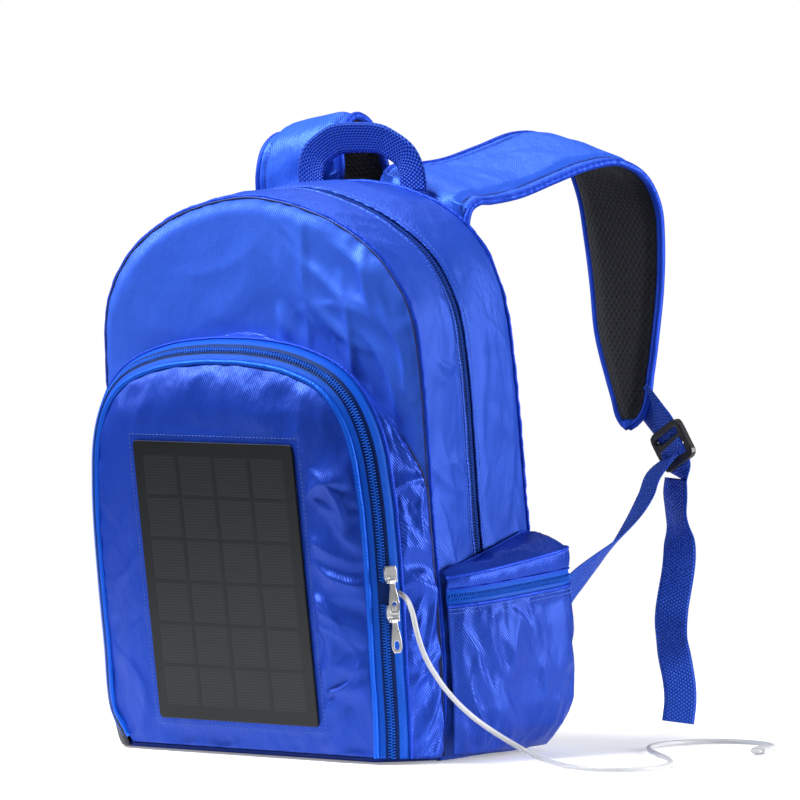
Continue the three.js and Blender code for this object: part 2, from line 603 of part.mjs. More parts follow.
// ---------------------------------------------------------------- straps and webbing
// Ribbon through stations {p, w (half width), W (width direction)}; section given as (u, n) pairs.
function ribbon(stations, section) {
  const curve = stations.map((s) => s.p);
  return loft(
    stations.map((s, i) => {
      const T = curve[Math.min(i + 1, curve.length - 1)].clone().sub(curve[Math.max(i - 1, 0)]).normalize();
      const W = s.raw ? s.W.clone().normalize() : s.W.clone().addScaledVector(T, -s.W.dot(T)).normalize();
      const N = T.clone().cross(W).normalize();
      return section(s).map(([u, n]) => s.p.clone().addScaledVector(W, u).addScaledVector(N, n));
    }),
  );
}
const strapStations = {
  right: [
    [57, 36, 412, 40, 0.946, 0, -0.325], [58, 64, 413, 39.5, 0.946, 0, -0.325], [60, 100, 417, 38, 0.946, 0, -0.325],
    [64, 140, 427, 37, 0.946, 0, -0.325], [68, 180, 437, 37, 0.946, 0, -0.325], [74, 212, 438, 36.5, 0.96, 0.03, -0.27],
    [80, 236, 425, 36, 0.98, 0.04, -0.2], [86, 247, 400, 35.5, 0.99, 0.02, -0.1], [89, 250, 370, 34, 1, 0, 0],
    [92, 249, 335, 31, 1, 0, 0], [94, 246, 300, 27, 1, 0, 0], [98, 243, 270, 20.5, 1, 0, 0],
    [102, 240, 246, 13, 1, 0, 0], [101, 238, 228, 6, 1, 0, 0],
  ],
  left: [
    [-56, 31, 413, 40, -0.95, 0, -0.31], [-56, 30, 430, 39, -0.96, 0, -0.26], [-55, 35, 447, 38, -0.97, 0, -0.22],
    [-53, 49, 456, 37, -0.97, 0, -0.2], [-51, 64, 450, 37, -0.98, 0, -0.16], [-49, 76, 431, 37, -0.99, 0, -0.1],
    [-48, 85, 408, 36.5, -1, 0, 0], [-50, 99, 375, 36, -1, 0, 0], [-55, 120, 335, 35, -1, 0, 0],
    [-62, 144, 290, 32, -1, 0, 0], [-72, 159, 246, 27, -1, 0, 0], [-83, 163, 212, 20, -1, 0, 0],
    [-94, 162, 193, 13, -1, 0, 0], [-102, 160.5, 179, 6, -1, 0, 0],
  ],
};
// ladder locks: centre, direction of the webbing through it, direction of its width
const lock = {
  right: { c: V(139, 241, 215), d: V(0.5, 0.03, -0.866).normalize(), W: V(0.83, -0.25, 0.48) },
  left: { c: V(-122, 156, 148), d: V(-0.3, -0.04, -0.95).normalize(), W: V(-0.95, 0, 0.3) },
};
const lowerPath = {
  right: [
    [128, 232, 193], [124, 227, 178], [122, 215, 163], [122, 196, 149], [123, 172, 136], [126, 146, 126],
    [129, 122, 117], [131.5, 106, 110], [132.5, 96, 107],
  ],
  left: [
    [-121.5, 148, 126], [-124, 144.5, 112], [-127.5, 136, 103], [-130.2, 123, 101.5], [-131.9, 109, 104.5],
    [-132.6, 96, 107.5],
  ],
};
const lowerEnd = { right: V(0, 0.28, 1), left: V(0, 0.22, 1) };
const tailTop = { right: V(138, 246.5, 190), left: V(-119, 165, 124) };
const TAIL_END = 5;
for (const side of ["right", "left"]) {
  const k = side === "right" ? 1 : -1;
  // smooth the hand-set stations, which also keeps the pad and its lining apart where it bends
  const key = strapStations[side];
  const path = new THREE.CatmullRomCurve3(key.map(([x, y, z]) => V(x, y, z)), false, "centripetal");
  const widths = new THREE.CatmullRomCurve3(key.map((q) => V(q[3], 0, 0)), false, "catmullrom");
  const turns = new THREE.CatmullRomCurve3(key.map((q) => V(q[4], q[5], q[6])), false, "catmullrom");
  const st = [];
  const count = 22;
  for (let i = 0; i <= count; i++) {
    const t = i / count;
    const end = Math.min(1, t * 12, (1 - t) * 12);
    st.push({ p: path.getPoint(t), w: widths.getPoint(t).x, W: turns.getPoint(t), raw: true, h: (STRAP_T / 2) * lerp(0.55, 1, end) });
  }
  // the outer face is the side the section's +n points to on the right, -n on the left
  add(
    "strap_pad_" + side,
    ribbon(st, (s) => [
      [-s.w, 0], [-s.w + 5, s.h], [0, s.h + 0.8], [s.w - 5, s.h], [s.w, 0],
      [s.w - 5, -s.h + 1.2], [0, -s.h + 0.8], [-s.w + 5, -s.h + 1.2],
    ].map(([u, n]) => [u, -k * n])),
    "nylon",
  );
  const skin = st.slice(1, -3);
  add(
    "strap_mesh_" + side,
    ribbon(skin, (s) => [
      [s.w - 7, -s.h + 0.3], [0, -s.h - 0.1], [-s.w + 7, -s.h + 0.3], [-s.w + 7, -s.h - 0.9], [0, -s.h - 1.3], [s.w - 7, -s.h - 0.9],
    ].map(([u, n]) => [u, -k * n])),
    "mesh",
  );
  const web = (s) => [[-WEB_W / 2, 0.8], [WEB_W / 2, 0.8], [WEB_W / 2, -0.8], [-WEB_W / 2, -0.8]];
  const L = lock[side];
  const top = L.c.clone().addScaledVector(L.d, -17.2);
  const d0 = side === "right" ? V(118, 241, 243) : V(-106, 159.6, 173.5);
  add(
    "adjuster_web_" + side,
    ribbon([0, 0.5, 1].map((t) => ({ p: d0.clone().lerp(top, t), W: L.W, raw: true })), web),
    "webbing",
  );
  // ladder lock: frame with two slots and a centre bar
  const z = L.d.clone().cross(L.W).normalize();
  const x = L.W.clone().addScaledVector(L.d, -L.W.dot(L.d)).normalize();
  const zz = x.clone().cross(L.d).normalize();
  const slots = [roundRect(27, 6, 1.5, 1).map(([a, b]) => [a, b + 8]), roundRect(27, 5, 1.5, 1).map(([a, b]) => [a, b - 2.5])];
  const g = slab(roundRect(36, 32, 5), 5, slots, 0);
  g.translate(0, 0, -2.5);
  placeIn(add("ladder_lock_" + side, g, "plastic"), frameOf(L.c, x, L.d.clone().negate(), x.clone().cross(L.d.clone().negate())));
  const lp = lowerPath[side].map(([a, b, c]) => V(a, b, c));
  const hang = new THREE.CatmullRomCurve3(lp, false, "centripetal");
  const n = side === "right" ? 14 : 12;
  add(
    "lower_web_" + side,
    ribbon(
      Array.from({ length: n + 1 }, (_, i) => ({
        p: hang.getPoint(i / n), W: V(k * 0.86, -0.5, 0).lerp(lowerEnd[side], Math.min(1, Math.max(0, (i / n - 0.1) / 0.8))),
      })), web,
    ),
    "webbing",
  );
  const tt = tailTop[side];
  const zs = side === "right" ? [tt.z, 160, 130, 95, 50, TAIL_END] : [tt.z, 92, 60, TAIL_END];
  const turn = (q) => lerp(-0.3, 0.6, Math.min(1, (tt.z - q) / 110));
  add(
    "tail_web_" + side,
    ribbon(zs.map((q, i) => ({ p: V(tt.x, tt.y, q), W: V(Math.cos(turn(q)), k * Math.sin(turn(q)), 0) })), web),
    "webbing",
  );
  // triangular tab at the foot of the back seam, which holds the lower webbing
  const tab = slab([[0, -22], [30, -8], [30, 14], [0, 26]], 2.4);
  const m = new THREE.Matrix4().makeBasis(V(0, 1, 0), V(0, 0, 1), V(1, 0, 0)).setPosition(
    V(k * 133.2 - 1.2, Y_BACK + 6.5, 104),
  );
  placeIn(add("corner_tab_" + side, tab, "nylon", bag), m);
  // sewn root of the padded strap, behind the top edge of the back panel
  const r0 = side === "right" ? [57, 29.2] : [-56, 28.2];
  add(
    "strap_root_" + side,
    ribbon(
      [398, 402, 406].map((q) => ({ p: V(r0[0], r0[1], q), W: V(k * 0.946, 0, -0.325), raw: true })),
      () => [[-38, 1.1], [38, 1.1], [38, -1.1], [-38, -1.1]],
    ),
    "nylon",
  );
}
// grab handle: a flat loop of webbing over the crown
{
  const c = 9, half = 46;
  const line = [
    [-half, 415, 1, 0], [-half + 1, 424, 0.97, -0.25], [-half + 6, 434, 0.8, -0.6], [-half + 18, 442, 0.42, -0.9],
    [-18, 446, 0.1, -1], [0, 447, 0, -1], [18, 446, -0.1, -1], [half - 18, 442, -0.42, -0.9],
    [half - 6, 434, -0.8, -0.6], [half - 1, 424, -0.97, -0.25], [half, 415, -1, 0],
  ];
  add(
    "grab_handle",
    ribbon(
      line.map(([x, z, a, b]) => ({ p: V(c + x, 18.5 - (z - 415) * 0.14, z), W: V(a, 0.28 * (b < 0 ? -b : 0), b), w: z < 416 ? 11 : 11.5 })),
      (s) => [[-s.w, 1], [s.w, 1], [s.w, -1], [-s.w, -1]],
    ),
    "webbing",
  );
}
export const jointFrames = joints;
export default root;
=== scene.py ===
import math

import bmesh
import bpy
import numpy as np
from mathutils import Matrix, Vector


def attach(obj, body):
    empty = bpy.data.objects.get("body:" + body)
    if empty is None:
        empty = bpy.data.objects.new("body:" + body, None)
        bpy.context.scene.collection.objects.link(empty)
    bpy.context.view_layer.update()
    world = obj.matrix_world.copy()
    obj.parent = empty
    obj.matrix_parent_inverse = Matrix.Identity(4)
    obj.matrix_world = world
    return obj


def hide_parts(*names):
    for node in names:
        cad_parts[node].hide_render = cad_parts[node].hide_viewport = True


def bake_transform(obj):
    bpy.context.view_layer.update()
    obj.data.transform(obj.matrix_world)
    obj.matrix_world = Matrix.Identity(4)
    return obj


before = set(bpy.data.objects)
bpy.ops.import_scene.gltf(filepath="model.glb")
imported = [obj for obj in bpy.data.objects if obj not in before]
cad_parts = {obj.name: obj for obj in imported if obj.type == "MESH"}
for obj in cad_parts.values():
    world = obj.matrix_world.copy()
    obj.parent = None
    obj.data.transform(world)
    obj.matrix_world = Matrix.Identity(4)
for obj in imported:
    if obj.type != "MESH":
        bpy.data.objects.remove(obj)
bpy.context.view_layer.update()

# ------------------------------------------------------------------ sizes shared with the CAD (mm)
LEAN = math.tan(math.radians(7))
Y_FRONT, Y_ZIP, Y_BACK = -61.0, -2.0, 68.0
EXIT_Z = 124.0
CABLE_D = 3.8
ARCH_F = [(132, 0), (139, 30), (142, 70), (142, 120), (141, 170), (141, 220), (141, 268),
          (138, 312), (129, 338), (112, 361), (90, 378), (66, 390), (41, 398), (18, 402.5), (0, 404)]
ARCH_Z = [(130, 0), (137, 30), (140, 70), (140, 120), (139, 170), (139, 220), (139, 268),
          (136, 312), (129, 337), (116, 359), (97, 376), (72, 391), (45, 402), (20, 408.5), (0, 410)]
ARCH_B = [(126, 0), (133, 30), (136, 70), (137, 120), (136, 170), (135, 220), (134, 268),
          (131, 314), (126, 341), (115, 366), (97, 386), (74, 400), (47, 409), (22, 413), (0, 414)]
PK_ROOT = [(138, 4), (140, 40), (141, 85), (141, 130), (140.5, 170), (139.5, 199), (133, 220),
           (118, 240), (97, 260), (71, 280), (45, 293), (20, 301), (0, 303)]
PK_ZIP = [(123.5, 4), (125, 30), (125.5, 74), (126.5, 120), (126.5, 165), (125, 195), (121.5, 225),
          (113.5, 250), (101, 269), (82, 283), (52, 293), (20, 297), (0, 297.5)]
RNG = np.random.RandomState(7)


# ------------------------------------------------------------------ numeric helpers
def smooth(t):
    t = np.clip(t, 0, 1)
    return t * t * (3 - 2 * t)


def lerp(a, b, t):
    return a + (b - a) * t


def catmull(pts, t):
    """Smooth curve through pts (n, k) at running indices t."""
    p = np.asarray(pts, float)
    n = len(p)
    t = np.clip(np.asarray(t, float), 0, n - 1 - 1e-9)
    i = t.astype(int)
    f = (t - i)[:, None]
    g = lambda k: np.where((k < 0)[:, None], 2 * p[0] - p[np.clip(-k, 0, n - 1)],
                           np.where((k > n - 1)[:, None], 2 * p[-1] - p[np.clip(2 * (n - 1) - k, 0, n - 1)], p[np.clip(k, 0, n - 1)]))
    a, b, c, d = g(i - 1), g(i), g(i + 1), g(i + 2)
    return 0.5 * ((2 * b) + (c - a) * f + (2 * a - 5 * b + 4 * c - d) * f ** 2 + (3 * b - a - 3 * c + d) * f ** 3)


def even(pts, step=None, n=None, closed=False):
    """The smooth curve through pts, resampled at even arc length; returns points and arc length."""
    pts = np.asarray(pts, float)
    if closed:
        pts = np.vstack([pts, pts[:1]])
    fine = catmull(pts, np.linspace(0, len(pts) - 1, (len(pts) - 1) * 24 + 1))
    s = np.concatenate([[0], np.cumsum(np.linalg.norm(np.diff(fine, axis=0), axis=1))])
    if n is None:
        n = max(3, int(round(s[-1] / step)) + 1)
    u = np.linspace(0, s[-1], n)
    out = np.stack([np.interp(u, s, fine[:, k]) for k in range(fine.shape[1])], 1)
    return out, u


def mirror(half):
    half = list(half)
    return half + [(-x, z) for x, z in half[:-1][::-1]]


def offset2(line, d):
    """A line (n, 2) in x, z moved sideways by d, outwards for a line that runs from +x over the top to -x."""
    line = np.asarray(line, float)
    t = np.gradient(line, axis=0)
    t /= np.linalg.norm(t, axis=1)[:, None] + 1e-12
    d = np.broadcast_to(np.asarray(d, float), (len(line),))
    return line + np.stack([t[:, 1], -t[:, 0]], 1) * d[:, None]


def lean(p):
    p = np.array(p, float)
    p[..., 1] -= LEAN * p[..., 2]
    return p


def hash3(i, j, k, seed):
    n = (i * 374761393 + j * 668265263 + k * 2147483647 + seed * 144665) & 0xFFFFFFFF
    n = (n ^ (n >> 13)) * 1274126177 & 0xFFFFFFFF
    n = (n ^ (n >> 16)) * 2654435761 & 0xFFFFFFFF
    return (n & 0xFFFFFF) / float(0xFFFFFF) * 2 - 1


def noise3(p, seed=0):
    """Smooth value noise, about -1..1, at points (..., 3)."""
    p = np.asarray(p, float)
    i = np.floor(p).astype(np.int64)
    f = p - i
    f = f * f * f * (f * (f * 6 - 15) + 10)
    out = 0
    for a in (0, 1):
        for b in (0, 1):
            for c in (0, 1):
                w = (f[..., 0] if a else 1 - f[..., 0]) * (f[..., 1] if b else 1 - f[..., 1]) * (f[..., 2] if c else 1 - f[..., 2])
                out = out + w * hash3(i[..., 0] + a, i[..., 1] + b, i[..., 2] + c, seed)
    return out


def noise2(u, v, seed=0):
    return noise3(np.stack(np.broadcast_arrays(u, v, 0.37), -1), seed)


def crease(u, v, seed=0, sharp=2.2):
    """Crumpled-fabric relief, -1..1: folds that meet in creases."""
    n = np.abs(noise2(u + 0.45 * noise2(u * 0.7, v * 0.7, seed + 9), v + 0.45 * noise2(u * 0.6, v * 0.8, seed + 19), seed))
    m = np.abs(noise2(u * 2.1 + 3.3, v * 2.1, seed + 5))
    return 1 - 2 * np.minimum(1, sharp * n) + 0.35 * (1 - 2 * np.minimum(1, 2 * m))


def draped(u, v, box, seed, count, angle, spread=22.0, length=(26, 60), width=(4.5, 9.0), height=(1.2, 3.0), sharp=1.6):
    """Crumpled cloth: ridges at random places in box (u0, u1, v0, v1) that run at angle(u, v) degrees, and meet in creases.
    Each ridge is steeper on one side, bends a little and tapers at both ends."""
    rs = np.random.RandomState(seed)
    acc = np.ones(np.shape(u))
    u0, u1, v0, v1 = box
    for _ in range(count):
        cu, cv = rs.uniform(u0, u1), rs.uniform(v0, v1)
        th = math.radians(float(angle(cu, cv)) + rs.normal() * spread)
        L = rs.uniform(*length)
        wd = rs.uniform(*width) * (0.6 + 0.4 * L / length[1])
        A = rs.uniform(*height)
        kap = rs.normal() * 0.35 / L
        side = rs.choice([-1.0, 1.0])
        du, dv = u - cu, v - cv
        p = (du * math.cos(th) + dv * math.sin(th)) / L
        q = -du * math.sin(th) + dv * math.cos(th) - kap * (p * L) ** 2
        tp = np.clip(1 - p * p, 0, 1)
        ws = wd * (0.45 + 0.55 * tp)
        q = q * side
        q = np.where(q > 0, q / (ws * 1.45), -q / (ws * 0.62))
        h = A * tp * np.exp(-q ** 1.5)
        acc = acc + (np.exp(sharp * h) - 1)
    return np.log(acc) / sharp


# ------------------------------------------------------------------ meshes
def collect(name, verts, faces, mat, smooth_shade=True):
    m = bpy.data.meshes.new(name)
    m.from_pydata((np.asarray(verts, float) * 0.001).tolist(), [], [tuple(f) for f in faces])
    m.validate()
    o = bpy.data.objects.new(name, m)
    bpy.context.scene.collection.objects.link(o)
    if smooth_shade:
        m.polygons.foreach_set("use_smooth", [True] * len(m.polygons))
    if mat is not None:
        m.materials.append(mat)
    return o


def grid_faces(nu, nv, base=0, closed_u=False, closed_v=False, flip=False):
    out = []
    for i in range(nu if closed_u else nu - 1):
        for j in range(nv if closed_v else nv - 1):
            a = base + i * nv + j
            b = base + ((i + 1) % nu) * nv + j
            c = base + ((i + 1) % nu) * nv + (j + 1) % nv
            d = base + i * nv + (j + 1) % nv
            out.append((a, d, c, b) if flip else (a, b, c, d))
    return out


def normals_of(P, closed_u=False, closed_v=False):
    def grad(A, axis, closed):
        if closed:
            return (np.roll(A, -1, axis) - np.roll(A, 1, axis)) / 2
        return np.gradient(A, axis=axis)
    n = np.cross(grad(P, 0, closed_u), grad(P, 1, closed_v))
    return n / (np.linalg.norm(n, axis=2)[..., None] + 1e-12)


def sheet_mesh(name, P, mat, thick=1.2, out=None, closed_u=False):
    """A closed thin shell over the grid P (nu, nv, 3); the inner skin lies behind by thick (mm). out is a point or direction test that fixes which side is outside."""
    nu, nv = P.shape[:2]
    N = normals_of(P, closed_u)
    if out is not None:
        o = np.asarray(out(P))
        if np.sum(N * o) < 0:
            N = -N
    Q = P - N * thick
    verts = np.vstack([P.reshape(-1, 3), Q.reshape(-1, 3)])
    n = nu * nv
    # which way the faces run
    f = grid_faces(nu, nv, 0, closed_u)
    a, b, c, d = f[len(f) // 2]
    fn = np.cross(verts[b] - verts[a], verts[d] - verts[a])
    flip = np.dot(fn, N.reshape(-1, 3)[a]) < 0
    faces = grid_faces(nu, nv, 0, closed_u, flip=flip) + grid_faces(nu, nv, n, closed_u, flip=not flip)
    rim = []
    if not closed_u:
        rim += [(0 * nv + j, 0 * nv + j + 1) for j in range(nv - 1)]
        rim += [((nu - 1) * nv + j + 1, (nu - 1) * nv + j) for j in range(nv - 1)]
    rim += [((i + 1) % nu * nv, i * nv) for i in range(nu if closed_u else nu - 1)]
    rim += [(i * nv + nv - 1, (i + 1) % nu * nv + nv - 1) for i in range(nu if closed_u else nu - 1)]
    for a, b in rim:
        faces.append((a, a + n, b + n, b) if flip else (a, b, b + n, a + n))
    return collect(name, verts, faces, mat)


def off_floor(o):
    """Trim the cut end of a cloth strip where it would dip below the floor."""
    for v in o.data.vertices:
        v.co.z = max(v.co.z, 0.0001)
    return o


def tube_mesh(path, r, sides=8, closed=False, up=None, flat=1.0):
    """Vertices and faces of a tube along path (n, 3); r may vary; flat squashes it."""
    path = np.asarray(path, float)
    n = len(path)
    r = np.broadcast_to(np.asarray(r, float), (n,))
    T = (np.roll(path, -1, 0) - np.roll(path, 1, 0)) if closed else np.gradient(path, axis=0)
    T /= np.linalg.norm(T, axis=1)[:, None] + 1e-12
    if up is None:
        u = np.zeros((n, 3))
        ref = np.array([0, 0, 1.0]) if abs(T[0][2]) < 0.9 else np.array([1.0, 0, 0])
        w = np.cross(T[0], ref)
        w /= np.linalg.norm(w)
        for i in range(n):
            w = w - T[i] * np.dot(w, T[i])
            w /= np.linalg.norm(w) + 1e-12
            u[i] = w
    else:
        u = np.broadcast_to(np.asarray(up, float), (n, 3)).copy()
        u -= T * np.sum(u * T, 1)[:, None]
        u /= np.linalg.norm(u, axis=1)[:, None] + 1e-12
    v = np.cross(T, u)
    a = np.linspace(0, 2 * np.pi, sides, endpoint=False)
    ring = np.cos(a)[None, :, None] * u[:, None] + np.sin(a)[None, :, None] * v[:, None] * flat
    verts = (path[:, None] + ring * r[:, None, None]).reshape(-1, 3)
    faces = grid_faces(n, sides, 0, closed, True, flip=True)
    if not closed:
        faces.append(tuple(range(sides)))
        faces.append(tuple((n - 1) * sides + k for k in range(sides))[::-1])
    return verts, faces


def unit(v):
    v = np.asarray(v, float)
    return v / ((np.linalg.norm(v, axis=-1)[..., None] if v.ndim > 1 else np.linalg.norm(v)) + 1e-12)


class Heap:
    """Gathers many small solids into one mesh."""

    def __init__(self):
        self.v, self.f, self.n = [], [], 0

    def add(self, verts, faces):
        self.v.append(np.asarray(verts, float))
        self.f += [tuple(k + self.n for k in f) for f in faces]
        self.n += len(verts)

    def tube(self, path, r, sides=8, closed=False, up=None, flat=1.0):
        self.add(*tube_mesh(path, r, sides, closed, up, flat))

    def make(self, name, mat):
        return collect(name, np.vstack(self.v), self.f, mat)


def stitches(heap, path, normal, length=2.6, gap=1.3, r=0.32, lift=0.1):
    """Thread stitches along path (n, 3), which stand a little out of the cloth along normal."""
    path = np.asarray(path, float)
    normal = np.broadcast_to(np.asarray(normal, float), path.shape)
    s = np.concatenate([[0], np.cumsum(np.linalg.norm(np.diff(path, axis=0), axis=1))])
    pos = 0.5
    while pos + length < s[-1]:
        u = np.linspace(pos, pos + length, 4)
        p = np.stack([np.interp(u, s, path[:, k]) for k in range(3)], 1)
        q = np.stack([np.interp(u, s, normal[:, k]) for k in range(3)], 1)
        heap.tube(p + q * (np.array([-0.35, lift, lift, -0.35])[:, None]), r, 5)
        pos += length + gap


def ride(o, body="root", slot=None, *nodes):
    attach(o, body)
    if nodes:
        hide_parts(*nodes)
    return o


# ------------------------------------------------------------------ materials
def new_mat(name):
    m = bpy.data.materials.new(name)
    m.use_nodes = True
    nt = m.node_tree
    nt.nodes.clear()
    out = nt.nodes.new("ShaderNodeOutputMaterial")
    b = nt.nodes.new("ShaderNodeBsdfPrincipled")
    nt.links.new(b.outputs[0], out.inputs[0])
    return m, nt, b


class N:
    """Short hand for node graphs."""

    def __init__(self, nt):
        self.nt = nt

    def node(self, kind, **k):
        n = self.nt.nodes.new(kind)
        for a, b in k.items():
            setattr(n, a, b)
        return n

    def link(self, a, b):
        self.nt.links.new(a, b)

    def value(self, sock, v):
        if hasattr(v, "is_output") or isinstance(v, bpy.types.NodeSocket):
            self.link(v, sock)
        else:
            sock.default_value = v

    def math(self, op, a, b=None, c=None, clamp=False):
        n = self.node("ShaderNodeMath", operation=op, use_clamp=clamp)
        self.value(n.inputs[0], a)
        if b is not None:
            self.value(n.inputs[1], b)
        if c is not None:
            self.value(n.inputs[2], c)
        return n.outputs[0]

    def coords(self):
        return self.node("ShaderNodeTexCoord").outputs["Object"]

    def sep(self, v):
        n = self.node("ShaderNodeSeparateXYZ")
        self.link(v, n.inputs[0])
        return n.outputs

    def combine(self, x, y, z):
        n = self.node("ShaderNodeCombineXYZ")
        for s, v in zip(n.inputs, (x, y, z)):
            self.value(s, v)
        return n.outputs[0]

    def mapping(self, v, scale=(1, 1, 1), rot=(0, 0, 0), loc=(0, 0, 0)):
        n = self.node("ShaderNodeMapping")
        self.link(v, n.inputs[0])
        n.inputs["Scale"].default_value = scale
        n.inputs["Rotation"].default_value = rot
        n.inputs["Location"].default_value = loc
        return n.outputs[0]

    def noise(self, v, scale, detail=2.0, rough=0.5):
        n = self.node("ShaderNodeTexNoise")
        self.link(v, n.inputs["Vector"])
        n.inputs["Scale"].default_value = scale
        n.inputs["Detail"].default_value = detail
        n.inputs["Roughness"].default_value = rough
        return n.outputs["Fac"]

    def ramp(self, v, stops):
        n = self.node("ShaderNodeValToRGB")
        self.link(v, n.inputs[0])
        e = n.color_ramp.elements
        e[0].position, e[0].color = stops[0][0], (*stops[0][1], 1)
        e[1].position, e[1].color = stops[-1][0], (*stops[-1][1], 1)
        for p, c in stops[1:-1]:
            x = e.new(p)
            x.color = (*c, 1)
        return n.outputs[0]

    def mix(self, f, a, b):
        n = self.node("ShaderNodeMix", data_type="RGBA")
        self.value(n.inputs[0], f)
        for s, v in ((n.inputs[6], a), (n.inputs[7], b)):
            if isinstance(v, tuple):
                s.default_value = (*v, 1)
            else:
                self.link(v, s)
        return n.outputs[2]

    def bump(self, h, strength, distance, normal=None):
        n = self.node("ShaderNodeBump")
        n.inputs["Strength"].default_value = strength
        n.inputs["Distance"].default_value = distance
        self.link(h, n.inputs["Height"])
        if normal is not None:
            self.link(normal, n.inputs["Normal"])
        return n.outputs[0]

    def wave(self, v, period):
        """0..1 ridge with the given period in metres."""
        a = self.math("MULTIPLY", v, 2 * math.pi / period)
        return self.math("MULTIPLY_ADD", self.math("SINE", a), 0.5, 0.5)


def principled(b, color=None, rough=0.5, metal=0.0, spec=0.5, coat=0.0, coat_rough=0.1, sheen=0.0, aniso=0.0, tint=None):
    if color is not None:
        b.inputs["Base Color"].default_value = (*color, 1)
    b.inputs["Roughness"].default_value = rough
    b.inputs["Metallic"].default_value = metal
    b.inputs["Specular IOR Level"].default_value = spec
    b.inputs["Coat Weight"].default_value = coat
    b.inputs["Coat Roughness"].default_value = coat_rough
    b.inputs["Sheen Weight"].default_value = sheen
    b.inputs["Anisotropic"].default_value = aniso
    if tint is not None:
        b.inputs["Specular Tint"].default_value = (*tint, 1)


def nylon(name, base=(0.013, 0.056, 0.48), deep=(0.007, 0.036, 0.38), rough=0.33, weave=1.0, crumple=1.0, plane="xz", spec=0.55, tint=(0.30, 0.52, 1.0), metal=0.38):
    """Coated nylon twill: fine diagonal weave, blue-tinted gloss, a painted glint on the twill ridges, slight colour
    drift, small crumples.
    """
    m, nt, b = new_mat(name)
    n = N(nt)
    co = n.coords()
    x, y, z = n.sep(co)
    u = {"xz": x, "yz": y, "xy": x}[plane]
    v = {"xz": z, "yz": z, "xy": y}[plane]
    # twill lines on the diagonal, broken by a finer thread
    d1 = n.math("ADD", n.math("MULTIPLY", u, 0.82), n.math("MULTIPLY", v, 0.57))
    d2 = n.math("SUBTRACT", n.math("MULTIPLY", u, 0.57), n.math("MULTIPLY", v, 0.82))
    wob = n.math("MULTIPLY", n.noise(co, 60.0, 2.0), 0.0012)
    twill = n.wave(n.math("ADD", d1, wob), 0.00142)
    thread = n.wave(d2, 0.0017)
    wv = n.math("MULTIPLY", twill, n.math("MULTIPLY_ADD", thread, 0.45, 0.55))
    big = n.noise(co, 9.0, 3.0, 0.55)
    mid = n.noise(n.mapping(co, (1, 1, 0.5), (0.2, 0.6, 0.5)), 42.0, 3.0, 0.55)
    fine = n.noise(co, 190.0, 2.0, 0.5)
    col = n.mix(n.math("MULTIPLY_ADD", big, 1.5, -0.4, clamp=True), deep, base)
    # the twill ridges also get a paler, lighter blue: a painted glint of the weave's sheen over the real twill pattern
    col = n.mix(n.math("MULTIPLY", wv, 0.32), col, (base[0] * 3.0, base[1] * 2.1, min(1, base[2] * 1.3)))
    nt.links.new(col, b.inputs["Base Color"])
    principled(b, None, rough, metal, spec, coat=0.0, sheen=0.0, tint=tint)
    r = n.math("MULTIPLY_ADD", mid, 0.16, rough - 0.08)
    r = n.math("ADD", r, n.math("MULTIPLY", wv, 0.06))
    nt.links.new(r, b.inputs["Roughness"])
    nb = n.bump(wv, 0.46 * weave, 0.00030)
    nb = n.bump(mid, 0.75 * crumple, 0.0040, nb)
    nb = n.bump(fine, 0.16 * crumple, 0.0006, nb)
    nt.links.new(nb, b.inputs["Normal"])
    return m


def webbing(name, base=(0.016, 0.082, 0.62), deep=(0.002, 0.014, 0.20)):
    """Woven belt: cross ribs come from the mesh's UV, v along the belt in metres, u across it."""
    m, nt, b = new_mat(name)
    n = N(nt)
    uv = n.node("ShaderNodeUVMap")
    uv.uv_map = "belt"
    u, v, _ = n.sep(uv.outputs[0])
    col_w = n.math("FLOOR", n.math("DIVIDE", u, 0.0020))
    alt = n.math("FRACT", n.math("MULTIPLY", col_w, 0.5))
    shift = n.math("MULTIPLY", alt, 0.0028)
    rib = n.wave(n.math("ADD", v, shift), 0.0028)
    cell = n.wave(u, 0.0020)
    h = n.math("MULTIPLY", rib, n.math("MULTIPLY_ADD", cell, 0.6, 0.4))
    fuzz = n.noise(n.coords(), 700.0, 2.0, 0.6)
    col = n.mix(h, deep, base)
    col = n.mix(n.math("MULTIPLY", fuzz, 0.25), col, (0.025, 0.10, 0.60))
    nt.links.new(col, b.inputs["Base Color"])
    principled(b, None, 0.50, 0.15, 0.45, sheen=0.08, tint=(0.35, 0.6, 1.0))
    b.inputs["Sheen Tint"].default_value = (0.3, 0.5, 1.0, 1)
    nt.links.new(n.bump(fuzz, 0.15, 0.0004, n.bump(h, 0.75, 0.0009)), b.inputs["Normal"])
    return m


def tape_mat(name, base=(0.004, 0.090, 0.56), deep=(0.003, 0.055, 0.42)):
    m, nt, b = new_mat(name)
    n = N(nt)
    co = n.coords()
    x, y, z = n.sep(co)
    w = n.math("MULTIPLY", n.wave(n.math("ADD", x, z), 0.0011), n.wave(n.math("SUBTRACT", n.math("ADD", y, z), x), 0.0013))
    nt.links.new(n.mix(w, deep, base), b.inputs["Base Color"])
    principled(b, None, 0.48, 0, 0.4, sheen=0.10, tint=(0.4, 0.7, 1.0))
    nt.links.new(n.bump(w, 0.35, 0.0004, n.bump(n.noise(co, 240, 2), 0.1, 0.0005)), b.inputs["Normal"])
    return m


def plain(name, color, rough, metal=0.0, spec=0.5, bump=0.0, scale=300.0, coat=0.0, var=0.0, coat_rough=0.1):
    m, nt, b = new_mat(name)
    n = N(nt)
    co = n.coords()
    f = n.noise(co, scale, 3.0, 0.55)
    g = n.noise(co, scale * 0.12, 2.0, 0.5)
    dark = tuple(c * (1 - var) for c in color)
    nt.links.new(n.mix(g, dark, color), b.inputs["Base Color"])
    principled(b, None, rough, metal, spec, coat, coat_rough)
    nt.links.new(n.math("MULTIPLY_ADD", f, 0.16, rough - 0.08), b.inputs["Roughness"])
    if bump:
        nt.links.new(n.bump(f, bump, 0.0004), b.inputs["Normal"])
    return m


